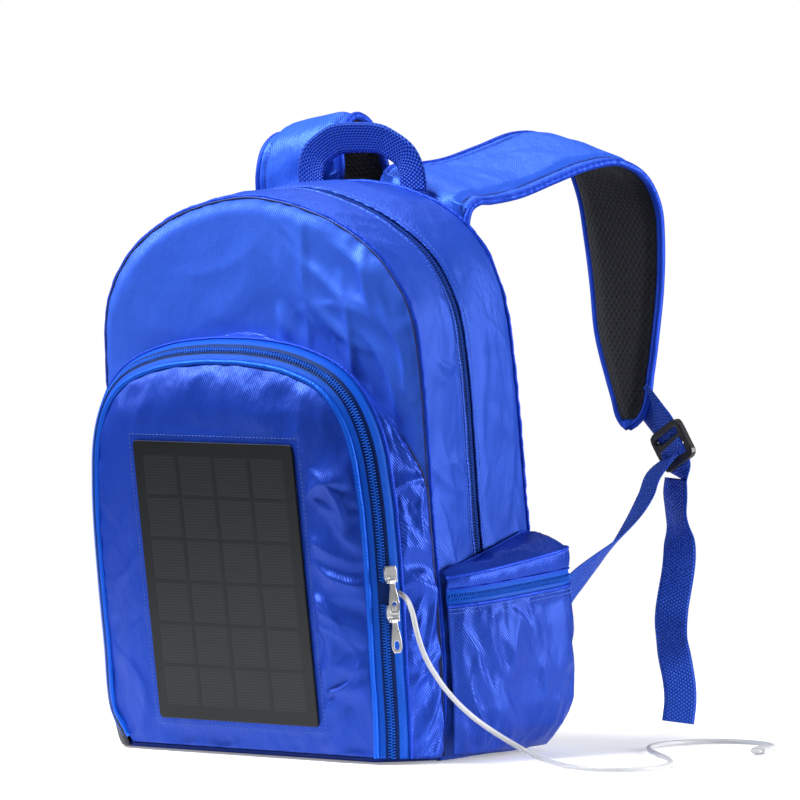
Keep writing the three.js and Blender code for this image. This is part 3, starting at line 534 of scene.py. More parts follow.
def mesh_fabric(name):
    """Black air mesh: rows of small holes over a dark lining."""
    m, nt, b = new_mat(name)
    n = N(nt)
    uv = n.node("ShaderNodeUVMap")
    uv.uv_map = "belt"
    u, v, _ = n.sep(uv.outputs[0])
    p = 0.0046
    row = n.math("FLOOR", n.math("DIVIDE", v, p * 0.75))
    odd = n.math("FRACT", n.math("MULTIPLY", row, 0.5))
    fu = n.math("SUBTRACT", n.math("FRACT", n.math("ADD", n.math("DIVIDE", u, p), odd)), 0.5)
    fv = n.math("MULTIPLY", n.math("SUBTRACT", n.math("FRACT", n.math("DIVIDE", v, p * 0.75)), 0.5), 0.75)
    r = n.math("SQRT", n.math("ADD", n.math("MULTIPLY", fu, fu), n.math("MULTIPLY", fv, fv)))
    hole = n.math("SUBTRACT", 1.0, n.math("MULTIPLY", n.math("SUBTRACT", r, 0.13), 7.0, clamp=True), clamp=True)
    fuzz = n.noise(n.coords(), 900.0, 2.0, 0.6)
    col = n.mix(hole, (0.009, 0.010, 0.015), (0.001, 0.001, 0.002))
    col = n.mix(n.math("MULTIPLY", fuzz, 0.30), col, (0.018, 0.020, 0.029))
    nt.links.new(col, b.inputs["Base Color"])
    principled(b, None, 0.7, 0, 0.3, sheen=0.08)
    h = n.math("SUBTRACT", 1.0, hole)
    nt.links.new(n.bump(fuzz, 0.2, 0.0005, n.bump(h, 0.8, 0.0012)), b.inputs["Normal"])
    return m


SOLAR = {"w": 142.0, "z0": 25.0, "z1": 228.0, "x": -4.0, "t": 2.0}


def laminate(name):
    """Charcoal laminate over a grid of cells, four across and six up, each with fine contact lines."""
    m, nt, b = new_mat(name)
    n = N(nt)
    uv = n.node("ShaderNodeUVMap")
    uv.uv_map = "panel"
    u, v, _ = n.sep(uv.outputs[0])  # millimetres from the lower left corner
    mx, mz, gw, gh = 7.0, 9.0, 128.0, 185.0
    cu = n.math("DIVIDE", n.math("SUBTRACT", u, mx), gw / 4)
    cv = n.math("DIVIDE", n.math("SUBTRACT", v, mz), gh / 6)
    fu, fv = n.math("FRACT", cu), n.math("FRACT", cv)

    def band(f, lo, hi, soft):
        a = n.math("MULTIPLY", n.math("SUBTRACT", f, lo), 1 / soft, clamp=True)
        c = n.math("MULTIPLY", n.math("SUBTRACT", hi, f), 1 / soft, clamp=True)
        return n.math("MULTIPLY", a, c)

    inside = n.math("MULTIPLY", band(cu, 0.0, 4.0, 0.004), band(cv, 0.0, 6.0, 0.004))
    cell = n.math("MULTIPLY", n.math("MULTIPLY", band(fu, 0.075, 0.925, 0.02), band(fv, 0.055, 0.945, 0.02)), inside)
    edge = n.math("MULTIPLY", n.math("MULTIPLY", band(fu, 0.055, 0.945, 0.012), band(fv, 0.04, 0.96, 0.012)), inside)
    frame_line = n.math("SUBTRACT", edge, n.math("MULTIPLY", n.math("MULTIPLY", band(fu, 0.07, 0.93, 0.012), band(fv, 0.052, 0.948, 0.012)), inside), clamp=True)
    lines = n.math("POWER", n.wave(v, 2.05), 5.0)
    lines = n.math("MULTIPLY", lines, cell)
    drift = n.noise(n.combine(n.math("FLOOR", cu), n.math("FLOOR", cv), 0.0), 3.1, 0.0)
    grain = n.noise(n.coords(), 900.0, 3.0, 0.6)
    cloud = n.noise(n.coords(), 14.0, 3.0, 0.5)
    col = n.mix(cell, (0.0054, 0.0068, 0.0080), (0.0084, 0.0098, 0.0110))
    col = n.mix(n.math("MULTIPLY", n.math("MULTIPLY", drift, 0.6), cell), col, (0.0095, 0.0106, 0.0122))
    col = n.mix(n.math("MULTIPLY", lines, 0.50), col, (0.034, 0.037, 0.040))
    col = n.mix(n.math("MULTIPLY", frame_line, 0.30), col, (0.042, 0.045, 0.048))
    col = n.mix(n.math("MULTIPLY", cloud, 0.15), col, (0.024, 0.026, 0.028))
    nt.links.new(col, b.inputs["Base Color"])
    principled(b, None, 0.42, 0, 0.22)
    nt.links.new(n.math("MULTIPLY_ADD", grain, 0.12, 0.36), b.inputs["Roughness"])
    nt.links.new(n.bump(grain, 0.06, 0.0003, n.bump(cell, 0.25, 0.0003)), b.inputs["Normal"])
    return m


M_FRONT = nylon("nylon_front", base=(0.031, 0.110, 0.66), deep=(0.020, 0.081, 0.57), rough=0.44, plane="xz", metal=0.22, crumple=0.6)
M_SIDE = nylon("nylon_side", base=(0.016, 0.065, 0.49), deep=(0.008, 0.041, 0.38), rough=0.42, plane="yz", weave=1.7, metal=0.28)
# the pocket face, pocket gusset and side-pocket copies of the one blue nylon are darker than the front panel's: painted
# shade for regions that get less light; the pocket-gusset copy also covers the side-pocket flaps
M_POCKET_PAINTED_SHADE = nylon("nylon_pocket_painted_shade", base=(0.009, 0.042, 0.38), deep=(0.005, 0.028, 0.30), rough=0.38, plane="xz", metal=0.28)
M_GUSSET_PAINTED_SHADE = nylon("nylon_gusset_painted_shade", base=(0.011, 0.050, 0.46), deep=(0.005, 0.028, 0.33), rough=0.32, plane="yz", weave=1.4, spec=0.6, metal=0.34)
M_SPOCKET_PAINTED_SHADE = nylon("nylon_side_pocket_painted_shade", base=(0.009, 0.041, 0.38), deep=(0.004, 0.023, 0.27), rough=0.34, plane="yz", weave=1.4, spec=0.6, metal=0.30)
M_STRAP = nylon("nylon_strap", base=(0.022, 0.098, 0.64), deep=(0.015, 0.074, 0.55), rough=0.42, plane="xy", metal=0.22)
M_BIND = nylon("nylon_binding", base=(0.008, 0.046, 0.50), deep=(0.006, 0.034, 0.42), rough=0.48, weave=1.6, plane="xz")
M_DARK = nylon("nylon_under", base=(0.003, 0.012, 0.15), deep=(0.002, 0.008, 0.10), rough=0.5, plane="xy")
M_PATCH = plain("corner_patch", (0.004, 0.006, 0.016), 0.55, var=0.3)
M_PIPE = nylon("nylon_piping", base=(0.004, 0.088, 0.62), deep=(0.003, 0.066, 0.54), rough=0.4, weave=1.5, plane="xz")
M_TAPE = tape_mat("zip_tape")
M_TAPE2 = tape_mat("zip_tape_main", base=(0.002, 0.013, 0.12), deep=(0.001, 0.006, 0.06))
M_COIL = plain("zip_coil", (0.008, 0.095, 0.58), 0.42, spec=0.4, var=0.3)
M_COIL2 = plain("zip_coil_main", (0.003, 0.034, 0.30), 0.42, spec=0.4, var=0.3)
for _m in (M_TAPE, M_TAPE2, M_COIL, M_COIL2):
    for _n in _m.node_tree.nodes:
        if _n.type == "BSDF_PRINCIPLED":
            _n.inputs["Specular Tint"].default_value = (0.22, 0.48, 1.0, 1)
            _n.inputs["Specular IOR Level"].default_value = 0.3
            _n.inputs["Sheen Weight"].default_value = 0.0
M_WEB = webbing("webbing")
M_THREAD = plain("thread", (0.05, 0.16, 0.72), 0.6, var=0.2)
M_THREAD_PALE = plain("thread_pale", (0.13, 0.22, 0.60), 0.6, var=0.5)
# near-black navy thread for the strap channel stitches: real stitches, their dark colour painted shade of the sewn
# channel
M_THREAD_CHANNEL_SHADE = plain("thread_painted_channel_shade", (0.006, 0.02, 0.16), 0.6, var=0.2)
M_SEAM = plain("seam_shadow", (0.003, 0.010, 0.085), 0.7, var=0.3)
M_MESH = mesh_fabric("air_mesh")
M_LAM = laminate("solar_laminate")
M_BLACK = plain("black_plastic", (0.016, 0.016, 0.018), 0.36, spec=0.5, bump=0.12, scale=500, var=0.2)
M_RUBBER = plain("black_rubber", (0.014, 0.014, 0.014), 0.6, bump=0.15, scale=400)
M_WHITE = plain("white_pvc", (0.46, 0.468, 0.49), 0.42, spec=0.5, bump=0.04, scale=200, var=0.05)
M_METAL = plain("polished_zinc", (0.78, 0.77, 0.75), 0.30, metal=0.90, bump=0.0, scale=260, var=0.10)
M_STEEL = plain("steel", (0.62, 0.62, 0.64), 0.3, metal=1.0, bump=0.05, scale=900)

# ------------------------------------------------------------------ camera
AZ, EL, DIST = math.radians(35), math.radians(2.2), 4.5
right = Vector((math.cos(AZ), math.sin(AZ), 0))
back = Vector((math.sin(AZ) * math.cos(EL), -math.cos(AZ) * math.cos(EL), math.sin(EL)))
cam = bpy.data.objects.new("camera", bpy.data.cameras.new("camera"))
bpy.context.scene.collection.objects.link(cam)
cam.location = right * 0.046 + Vector((0, 0, 0.254)) + back * DIST
cam.rotation_mode = "QUATERNION"
cam.rotation_quaternion = (-back).to_track_quat("-Z", "Y")
cam.data.sensor_width = 36
cam.data.lens = 1.36 * 4500 * 36 / 800
cam.data.clip_start, cam.data.clip_end = 0.05, 60
bpy.context.scene.camera = cam

# ------------------------------------------------------------------ charging cable
FLOOR = CABLE_D / 2 + 0.2


def leaned(x, y, z):
    return (x, y - LEAN * z, z)


ROUTE = [
    leaned(103.2, -88, EXIT_Z), leaned(110, -88.4, EXIT_Z), leaned(119, -90, EXIT_Z), leaned(128, -91.4, EXIT_Z - 0.4),
    (137, -108.5, 120), (145, -112, 111), (149, -112, 97), (151, -106, 81), (153.5, -95, 65),
    (157, -80, 49), (162, -62, 34), (170, -44, 21), (182, -33, 11), (198, -33, 4.6),
    (218, -42, FLOOR + 0.3), (240, -56, FLOOR), (264, -64, FLOOR), (286, -56, FLOOR), (298, -32, FLOOR),
    (291, -2, FLOOR), (271, 28, FLOOR), (246, 53, FLOOR), (222, 79, FLOOR), (207, 109, FLOOR),
    (211, 142, FLOOR), (232, 165, FLOOR), (260, 168, FLOOR), (282, 153, FLOOR), (290, 126, FLOOR),
]


def centripetal(pts, per=10):
    """The centripetal curve through pts, the same one that the CAD tube follows."""
    p = np.asarray(pts, float)
    p = np.vstack([2 * p[0] - p[1], p, 2 * p[-1] - p[-2]])
    out = []
    for i in range(1, len(p) - 2):
        a, b, c, d = p[i - 1], p[i], p[i + 1], p[i + 2]
        t0 = 0
        t1 = t0 + np.linalg.norm(b - a) ** 0.5
        t2 = t1 + np.linalg.norm(c - b) ** 0.5
        t3 = t2 + np.linalg.norm(d - c) ** 0.5
        for t in np.linspace(t1, t2, per, endpoint=False):
            A1 = a * (t1 - t) / (t1 - t0) + b * (t - t0) / (t1 - t0)
            A2 = b * (t2 - t) / (t2 - t1) + c * (t - t1) / (t2 - t1)
            A3 = c * (t3 - t) / (t3 - t2) + d * (t - t2) / (t3 - t2)
            B1 = A1 * (t2 - t) / (t2 - t0) + A2 * (t - t0) / (t2 - t0)
            B2 = A2 * (t3 - t) / (t3 - t1) + A3 * (t - t1) / (t3 - t1)
            out.append(B1 * (t2 - t) / (t2 - t1) + B2 * (t - t1) / (t2 - t1))
    out.append(p[-2])
    return np.array(out)


line = centripetal(ROUTE, 8)
cu = bpy.data.curves.new("charging_cable_lead", "CURVE")
cu.dimensions = "3D"
cu.bevel_depth = CABLE_D / 2000
cu.bevel_resolution = 5
cu.use_fill_caps = True
sp = cu.splines.new("POLY")
sp.points.add(len(line) - 1)
for q, p in zip(sp.points, line):
    q.co = (*(p * 0.001), 1)
cable = bpy.data.objects.new("charging_cable_lead", cu)
bpy.context.scene.collection.objects.link(cable)
cu.materials.append(M_WHITE)
ride(cable, "root", "white_cable", "charging_cable")


def node_copy(node, name, mat, voxel=0.35, rounds=4, sub=0):
    """A rounded copy of a small CAD node: fine remesh, then relaxed."""
    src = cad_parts[node]
    me = src.data.copy()
    me.transform(src.matrix_world)
    o = bpy.data.objects.new(name, me)
    bpy.context.scene.collection.objects.link(o)
    me.materials.clear()
    r = o.modifiers.new("r", "REMESH")
    r.mode = "VOXEL"
    r.voxel_size = voxel * 0.001
    if rounds:
        s = o.modifiers.new("s", "SMOOTH")
        s.iterations = rounds
        s.factor = 0.5
    bpy.context.view_layer.update()
    dg = bpy.context.evaluated_depsgraph_get()
    new = bpy.data.meshes.new_from_object(o.evaluated_get(dg))
    o.modifiers.clear()
    o.data = new
    new.materials.clear()
    new.materials.append(mat)
    new.polygons.foreach_set("use_smooth", [True] * len(new.polygons))
    return o


# tapered strain relief at the plug inside the pocket; the end connector and a short relief at the tip of the lead
relief = Heap()
k = line[:26]
relief.tube(k[:12], np.linspace(3.5, 2.05, 12), 16)
strain = relief.make("cable_strain_relief", M_WHITE)
ride(strain, "root", "white_cable")
end_plug = node_copy("cable_end_plug", "cable_end_connector", M_WHITE, 0.4, 3)
ride(end_plug, "root", "white_cable", "cable_end_plug")
hp = Heap()
tip, prev = line[-1], line[-6]
d = (tip - prev) / np.linalg.norm(tip - prev)
hp.tube([tip - d * 11, tip - d * 7, tip - d * 3, tip - d * 0.4], [1.95, 2.02, 2.03, 2.04], 16)
relief2 = hp.make("cable_end_relief", M_WHITE)
ride(relief2, "root", "white_cable")

# ------------------------------------------------------------------ body shell
HALF = 14.0


def arch_tables():
    return [np.array(mirror(a), float) for a in (ARCH_F, ARCH_Z, ARCH_B)]


AF, AZM, AB = arch_tables()


def arch(y, t):
    """x, z of the arch at depth y and running index t (0 right foot, 14 crown, 28 left foot)."""
    y = np.broadcast_to(np.asarray(y, float), np.shape(t))
    F, Z, B = catmull(AF, t), catmull(AZM, t), catmull(AB, t)
    k1 = np.clip((y - Y_FRONT) / (Y_ZIP - Y_FRONT), 0, 1)[:, None]
    k2 = np.clip((y - Y_ZIP) / (Y_BACK - Y_ZIP), 0, 1)[:, None]
    return np.where((y <= Y_ZIP)[:, None], F + (Z - F) * k1, Z + (B - Z) * k2)


def even_t(step, t0=0.0, t1=28.0, table=None):
    tt = np.linspace(t0, t1, 2000)
    p = catmull(AZM if table is None else table, tt)
    s = np.concatenate([[0], np.cumsum(np.linalg.norm(np.diff(p, axis=0), axis=1))])
    n = int(round(s[-1] / step)) + 1
    u = np.linspace(0, s[-1], n)
    return np.interp(u, s, tt), u


def index_at(z):
    tab = np.array(ARCH_Z, float)
    return float(np.interp(z, tab[:9, 1], np.arange(9)))


def band(y0, y1, t0, t1, step_t, ny, bulge, relief, lift=0.0):
    """Grid of a gusset strip: rows along the arch, columns from y0 to y1. bulge is the swell of the middle; relief(s, f, x, y, z) is added outwards."""
    t, s = even_t(step_t, t0, t1)
    P = np.zeros((len(t), ny, 3))
    for j, fj in enumerate(np.linspace(0, 1, ny)):
        y = lerp(y0, y1, fj)
        xz = arch(y, t)
        q = offset2(xz, bulge * 4 * fj * (1 - fj) + lift + relief(s, np.full_like(s, fj), xz[:, 0], y, xz[:, 1]))
        P[:, j, 0], P[:, j, 1], P[:, j, 2] = q[:, 0], y, q[:, 1]
    return lean(P)


def outward(P):
    c = np.array([0, -15, 190.0])
    o = P - c
    return o / np.linalg.norm(o, axis=-1)[..., None]


def edge_fall(f, w0=0.16, w1=0.16):
    """0 at the two seams, 1 inside."""
    return smooth(f / w0) * smooth((1 - f) / w1)


def gusset_relief(seed, amp, y0, y1, angle, count, length, width, height, pleat=1.0):
    def g(s, f, x, y, z):
        e = edge_fall(f, 0.16, 0.16)
        n = noise2(s / 52, f * 1.3 + 4, seed) * 0.9
        k = lerp(1.0, 0.40, smooth((z - 320) / 80))
        d = draped(s, np.full_like(s, y), (0, 1090, y0, y1), seed, count, angle, 20.0, length, width, height, 1.4)
        puck = np.sin(s / 2.6 + 3 * noise2(s / 16, 0 * s, seed + 8)) * np.exp(-np.minimum(f, 1 - f) / 0.10) * 0.30 * (0.5 + 0.5 * noise2(s / 30, 0 * s + 2, seed + 1)) * pleat
        return amp * e * (n + k * (d - 0.8)) + puck * smooth(np.minimum(f, 1 - f) / 0.03)
    return g


T100 = index_at(100.0)
REL_F = gusset_relief(11, 1.35, Y_FRONT, -8, lambda u, v: -40 if u < 545 else 40, 84, (16, 44), (3.4, 7.6), (1.2, 3.0))
REL_R = gusset_relief(23, 0.95, 4, Y_BACK, lambda u, v: -22 if u < 545 else 22, 56, (26, 80), (6, 13), (1.0, 2.8))
P = band(Y_FRONT + 0.2, -8.6, 0.0, 28.0, 2.2, 30, 3.0, REL_F)
front_gusset = off_floor(sheet_mesh("front_gusset_cloth", P, M_SIDE, 1.4, outward))
ride(front_gusset, "root", "blue_nylon", "gusset_front")
P = band(4.6, Y_BACK - 0.2, 0.0, 28.0, 2.4, 32, 3.4, REL_R)
rear_gusset = off_floor(sheet_mesh("rear_gusset_cloth", P, M_SIDE, 1.4, outward))
ride(rear_gusset, "root", "blue_nylon", "gusset_rear")
# below the zip the two gussets are one side panel: a plain strip joins them
for side in (1, -1):
    t, s = even_t(3.2, 0.0, T100 + 0.02)
    if side < 0:
        t = 28 - t
    cols = np.linspace(-9.5, 5.5, 7)
    P = np.zeros((len(t), len(cols), 3))
    for j, y in enumerate(cols):
        xz = arch(y, t if side > 0 else t)
        q = xz + np.array([side * 0.25, 0]) * 1.0
        P[:, j] = np.stack([q[:, 0], np.full(len(t), y), q[:, 1]], 1)
    o = sheet_mesh("side_panel_cloth_" + ("right" if side > 0 else "left"), lean(P), M_SIDE, 1.2, outward)
    ride(o, "root", "blue_nylon", "side_panel_" + ("right" if side > 0 else "left"))


# ------------------------------------------------------------------ zips
def dark_columns(o, nu, nv, j0, j1, mat=None):
    """Gives the columns j0..j1 of a sheet mesh the navy of the woven middle of the tape."""
    o.data.materials.append(mat or M_TAPE2)
    k = 0
    for i in range(nu - 1):
        for j in range(nv - 1):
            if j0 <= j < j1:
                o.data.polygons[k].material_index = 1
            k += 1


def coil(heap, path, across, out, pitch=1.55, half=2.0, r=0.62, gap=0.55):
    """Two rows of coil teeth that interlock along path. across and out are unit vectors at each point."""
    path, across, out = (np.asarray(a, float) for a in (path, across, out))
    s = np.concatenate([[0], np.cumsum(np.linalg.norm(np.diff(path, axis=0), axis=1))])
    along = np.gradient(path, axis=0)
    along /= np.linalg.norm(along, axis=1)[:, None]
    n = int(s[-1] / pitch)
    for k in range(n):
        for side in (1, -1):
            u = (k + (0.5 if side > 0 else 0)) * pitch
            f = lambda a: np.array([np.interp(u, s, a[:, i]) for i in range(3)])
            p, a, o, t = f(path), f(across), f(out), f(along)
            seg = np.array([p + a * side * (-0.5) + o * 0.1, p + a * side * 0.5 + o * 0.62, p + a * side * half * 0.75 + o * 0.5, p + a * side * half + o * (-0.2)])
            seg += t[None] * np.array([0, 0.05, 0.16, 0.3])[:, None] * pitch * 0.5
            heap.tube(seg, [r * 0.8, r, r, r * 0.7], 5)


def zip_frames(xz, y, out_y, out_n):
    """World path, across and out vectors for a zip that lies on the arch line xz at depth y."""
    xz = np.asarray(xz, float)
    t = np.gradient(xz, axis=0)
    t /= np.linalg.norm(t, axis=1)[:, None]
    nrm = np.stack([t[:, 1], -t[:, 0]], 1)
    P = lean(np.stack([xz[:, 0], np.broadcast_to(y, len(xz)), xz[:, 1]], 1))
    out = np.stack([nrm[:, 0] * out_n, np.full(len(xz), -out_y), nrm[:, 1] * out_n], 1)
    out /= np.linalg.norm(out, axis=1)[:, None]
    T = np.gradient(P, axis=0)
    T /= np.linalg.norm(T, axis=1)[:, None]
    across = np.cross(out, T)
    across /= np.linalg.norm(across, axis=1)[:, None]
    return P, across, out


# main zip: tape below the cloth edge, welt of each gusset rolled over it
T_ZIP0, T_ZIP1 = T100, 28 - T100
t, s = even_t(3.0, T_ZIP0, T_ZIP1)
cols = np.linspace(-9.5, 5.5, 9)
P = np.zeros((len(t), len(cols), 3))
for j, y in enumerate(cols):
    xz = offset2(arch(y, t), -0.9 - 0.5 * abs(y + 2) / 7.5)
    P[:, j] = np.stack([xz[:, 0], np.full(len(t), y), xz[:, 1]], 1)
tape = sheet_mesh("main_zip_tape", lean(P), M_TAPE2, 0.9, outward)
ride(tape, "root", "zip_tape", "main_zip_chain")
t2, s2 = even_t(1.0, T_ZIP0 + 0.05, T_ZIP1 - 0.05)
heap = Heap()
Pz, Ac, Ou = zip_frames(offset2(arch(-2.0, t2), -0.35), -2.0, 0.0, 1.0)
coil(heap, Pz, Ac, Ou, pitch=2.1, half=2.7, r=0.56)
o = heap.make("main_zip_coil", M_COIL2)
ride(o, "root", "zip_tape")


def welt(name, y, h, r, mat, seed, body="root", wob=0.25, flat=0.7, t0=None, t1=None, dy=0.0):
    """A rolled cloth edge along the arch at depth y."""
    tt, ss = even_t(2.0, T_ZIP0 if t0 is None else t0, T_ZIP1 if t1 is None else t1)
    w = noise2(ss / 9, 0 * ss, seed) * wob
    xz = offset2(arch(y, tt), h + w * 0.6)
    Q = np.stack([xz[:, 0], y + w + dy, xz[:, 1]], 1)
    hh = Heap()
    hh.tube(lean(Q), r * (1 + 0.2 * noise2(ss / 14, 0 * ss + 3, seed)), 10, up=(0, 1, 0), flat=flat)
    o = hh.make(name, mat)
    return ride(o, body, "blue_nylon")


welt("main_zip_welt_front", -8.3, 0.1, 1.5, M_SIDE, 31)
welt("main_zip_welt_rear", 4.3, 0.1, 1.5, M_SIDE, 37)
# topstitching beside the zip
heap = Heap()
for y in (-11.8, 7.8):
    tt, ss = even_t(2.5, T_ZIP0, T_ZIP1)
    f = (y - (Y_FRONT + 0.2)) / (-8.6 - Y_FRONT - 0.2) if y < 0 else (y - 4.6) / (Y_BACK - 0.2 - 4.6)
    b4 = (3.0 if y < 0 else 3.4) * 4 * f * (1 - f)
    xz = arch(y, tt)
    q = offset2(xz, b4 + 0.35)
    Q = lean(np.stack([q[:, 0], np.full(len(tt), y), q[:, 1]], 1))
    stitches(heap, Q, outward(Q), 2.4, 1.2, 0.26)
o = heap.make("main_zip_stitching", M_THREAD)
ride(o, "root", "blue_nylon")

# seam ridges at the front and back edges of the gussets, each with a thin dark tube beside it, painted shadow in the
# seam's groove
tt, ss = even_t(1.6, 0.0, 28.0, AF)
wob = noise2(ss / 7, 0 * ss, 51) * 0.5 + noise2(ss / 2.4, 0 * ss, 52) * 0.18
for name, y, table, h0, r, mat in (("front_seam_ridge", Y_FRONT + 1.6, AF, 0.6, 1.25, M_BIND), ("back_seam_ridge", Y_BACK - 0.3, AB, 0.5, 1.3, M_BIND)):
    xz = offset2(catmull(table, tt), h0 + wob * 0.7)
    Q = lean(np.stack([xz[:, 0], y + wob * 0.6, xz[:, 1]], 1))
    hh = Heap()
    hh.tube(Q, r * (1 + 0.22 * noise2(ss / 5, 0 * ss + 5, 61)), 10, up=(0, 1, 0), flat=1.35)
    o = off_floor(hh.make(name, mat))
    ride(o, "root", "blue_nylon")
    hh = Heap()
    sg = -1 if y < 0 else 1
    xz = offset2(catmull(table, tt), -0.7)
    Q = lean(np.stack([xz[:, 0], np.full(len(tt), y + sg * 1.9), xz[:, 1]], 1))
    hh.tube(Q, 0.55, 6, up=(0, 1, 0))
    o = hh.make(name.replace("ridge", "groove"), M_SEAM)
    ride(o, "root", "blue_nylon")


# ------------------------------------------------------------------ plates over an outline
def disc_grid(outline, middle, rings):
    """Points (rings, n, 2) from the outline (n, 2) towards the middle."""
    outline, middle = np.asarray(outline, float), np.asarray(middle, float)
    return np.stack([middle + (outline - middle) * s for s in rings])


def plate_mesh(name, outline, middle, rings, y_of, mat, thick=1.4):
    G = disc_grid(outline, middle, rings)
    nr, n = G.shape[:2]
    Y = y_of(G[..., 0], G[..., 1], np.broadcast_to(np.asarray(rings)[:, None], (nr, n)))
    A = np.stack([G[..., 0], Y, G[..., 1]], -1)
    Bk = A.copy()
    Bk[..., 1] += thick
    c = np.array([[middle[0], float(y_of(np.array([middle[0]]), np.array([middle[1]]), np.array([0.0]))[0]), middle[1]]])
    verts = np.vstack([A.reshape(-1, 3), c, Bk.reshape(-1, 3), c + [0, thick, 0]])
    h = nr * n + 1
    faces = []
    for base, flip in ((0, False), (h, True)):
        for r in range(nr - 1):
            for i in range(n):
                j = (i + 1) % n
                q = (base + r * n + i, base + r * n + j, base + (r + 1) * n + j, base + (r + 1) * n + i)
                faces.append(q[::-1] if flip else q)
        for i in range(n):
            j = (i + 1) % n
            q = (base + (nr - 1) * n + i, base + (nr - 1) * n + j, base + h - 1)
            faces.append(q[::-1] if flip else q)
    for i in range(n):
        j = (i + 1) % n
        faces.append((i, h + i, h + j, j))
    o = collect(name, lean(verts), faces, mat)
    bm = bmesh.new()
    bm.from_mesh(o.data)
    bmesh.ops.recalc_face_normals(bm, faces=bm.faces)
    bm.to_mesh(o.data)
    bm.free()
    return o


def outline_of(table, step=3.0, base=0.8, grow=0.0):
    """Closed outline: the arch, then the straight base."""
    tt, _ = even_t(step, 0.0, 28.0, table)
    top = catmull(table, tt)
    if grow:
        top = offset2(top, grow)
    top[:, 1] = np.maximum(top[:, 1], base)
    nb = int(abs(top[-1, 0] - top[0, 0]) / step)
    xs = np.linspace(top[-1, 0], top[0, 0], nb + 1)[1:-1]
    return np.vstack([top, np.stack([xs, np.full(len(xs), base)], 1)])


MID = (0.0, 190.0)
front_outline = outline_of(AF, 3.0)


def reach_table(outline, middle):
    d = np.asarray(outline) - np.asarray(middle)
    a = np.arctan2(d[:, 1], d[:, 0])
    r = np.linalg.norm(d, axis=1)
    o = np.argsort(a)
    return a[o], r[o]


FA, FR = reach_table(front_outline, MID)


def front_reach(x, z):
    dx, dz = x - MID[0], z - MID[1]
    a = np.arctan2(dz, dx)
    return np.hypot(dx, dz) / np.interp(a, np.concatenate([FA - 2 * np.pi, FA, FA + 2 * np.pi]), np.tile(FR, 3))


def front_face(x, z):
    """Depth y of the front panel's skin at x, z, without relief."""
    s = np.minimum(front_reach(x, z), 1)
    return Y_FRONT - 3.4 * smooth((1 - s) / 0.055) - 9 * np.maximum(0, 1 - s * s)


pk_root_line, _ = even(mirror(PK_ROOT), 3.0)


def inside(poly, x, z):
    """True where x, z lies in the closed outline."""
    c = np.zeros(np.shape(x), bool)
    for (x0, z0), (x1, z1) in zip(poly, np.roll(poly, -1, 0)):
        if z0 != z1:
            c ^= ((z0 > z) != (z1 > z)) & (x < (x1 - x0) * (z - z0) / (z1 - z0) + x0)
    return c


def poly_dist(poly, x, z):
    """Distance from the points to a polyline."""
    d = np.full(np.shape(x), 1e9)
    for a, b in zip(poly[:-1], poly[1:]):
        e = b - a
        t = np.clip(((x - a[0]) * e[0] + (z - a[1]) * e[1]) / (e @ e + 1e-9), 0, 1)
        d = np.minimum(d, np.hypot(x - a[0] - t * e[0], z - a[1] - t * e[1]))
    return d


def front_y(x, z, s):
    rim = smooth((1 - s) / 0.07)
    d_root = poly_dist(pk_root_line[::3], x, z)
    free = rim * np.where(inside(pk_root_line, x, z), 0.0, smooth(d_root / 16))
    right_ = smooth((x + 5) / 55)
    n = noise3(np.stack([x / 90, z / 80, 0 * x], -1), 71) * 1.2
    dr = draped(x, z, (30, 140, 150, 385), 74, 40, lambda u, v: -62, 16, (24, 74), (4.5, 9.5), (1.4, 3.4), 1.4) - 0.9
    dr2 = draped(x, z, (-140, 40, 260, 395), 78, 9, lambda u, v: 35, 25, (40, 80), (12, 22), (0.8, 1.8), 1.2) - 0.3
    ang = np.arctan2(z - MID[1], x - MID[0])
    puck = np.sin(ang * 62 + 3 * noise2(ang * 6, 0 * ang, 83)) * np.exp(-(1 - s) / 0.030) * 0.85 * smooth((1 - s) / 0.010) * (0.35 + 0.65 * right_)
    return front_face(x, z) - free * (n + right_ * lerp(1.0, 0.55, smooth((z - 350) / 30)) * 2.1 * dr + (1 - right_) * dr2) - puck


rings = np.concatenate([[1.0, 0.994, 0.985, 0.974, 0.962, 0.948], np.linspace(0.935, 0.03, 84)])
o = plate_mesh("front_panel_cloth", outline_of(AF, 2.4), MID, rings, front_y, M_FRONT, 1.6)
ride(o, "root", "blue_nylon", "front_panel")

back_outline = outline_of(AB, 4.0)


def back_y(x, z, s):
    return Y_BACK + 0.3 + 5.0 * smooth((1 - s) / 0.05) + 0.4 * noise3(np.stack([x / 50, z / 50, 0 * x], -1), 91) * smooth((1 - s) / 0.1)


o = plate_mesh("back_panel_cloth", back_outline, MID, np.concatenate([[1.0, 0.99, 0.975, 0.955], np.linspace(0.93, 0.04, 20)]), back_y, M_FRONT, -1.6)
ride(o, "root", "blue_nylon", "back_panel")

# back pad: air mesh over foam, sewn into channels
pad_outline = np.stack([back_outline[:, 0] * 0.86, lerp(205, back_outline[:, 1], 0.86)], 1)


def pad_y(x, z, s):
    dome = smooth((1 - s) / 0.09) * 8.2
    ch = 0
    for zc in (110, 195, 280):
        ch = ch + 3.2 * np.exp(-((z - zc - 8 * np.cos(x / 40)) / 4.2) ** 2)
    ch = ch + 3.2 * np.exp(-((np.abs(x) - 14) / 4.0) ** 2) * smooth((330 - z) / 20) * smooth((z - 45) / 20)
    return Y_BACK + 6.6 + np.maximum(0.6, dome - ch * smooth((1 - s) / 0.08))


def belt_uv(o, u, v):
    """UV map named belt, in metres, from one (u, v) pair for each vertex."""
    layer = o.data.uv_layers.new(name="belt")
    idx = np.zeros(len(o.data.loops), np.int32)
    o.data.loops.foreach_get("vertex_index", idx)
    uv = np.stack([u[idx], v[idx]], 1).astype(np.float32)
    layer.data.foreach_set("uv", uv.ravel())


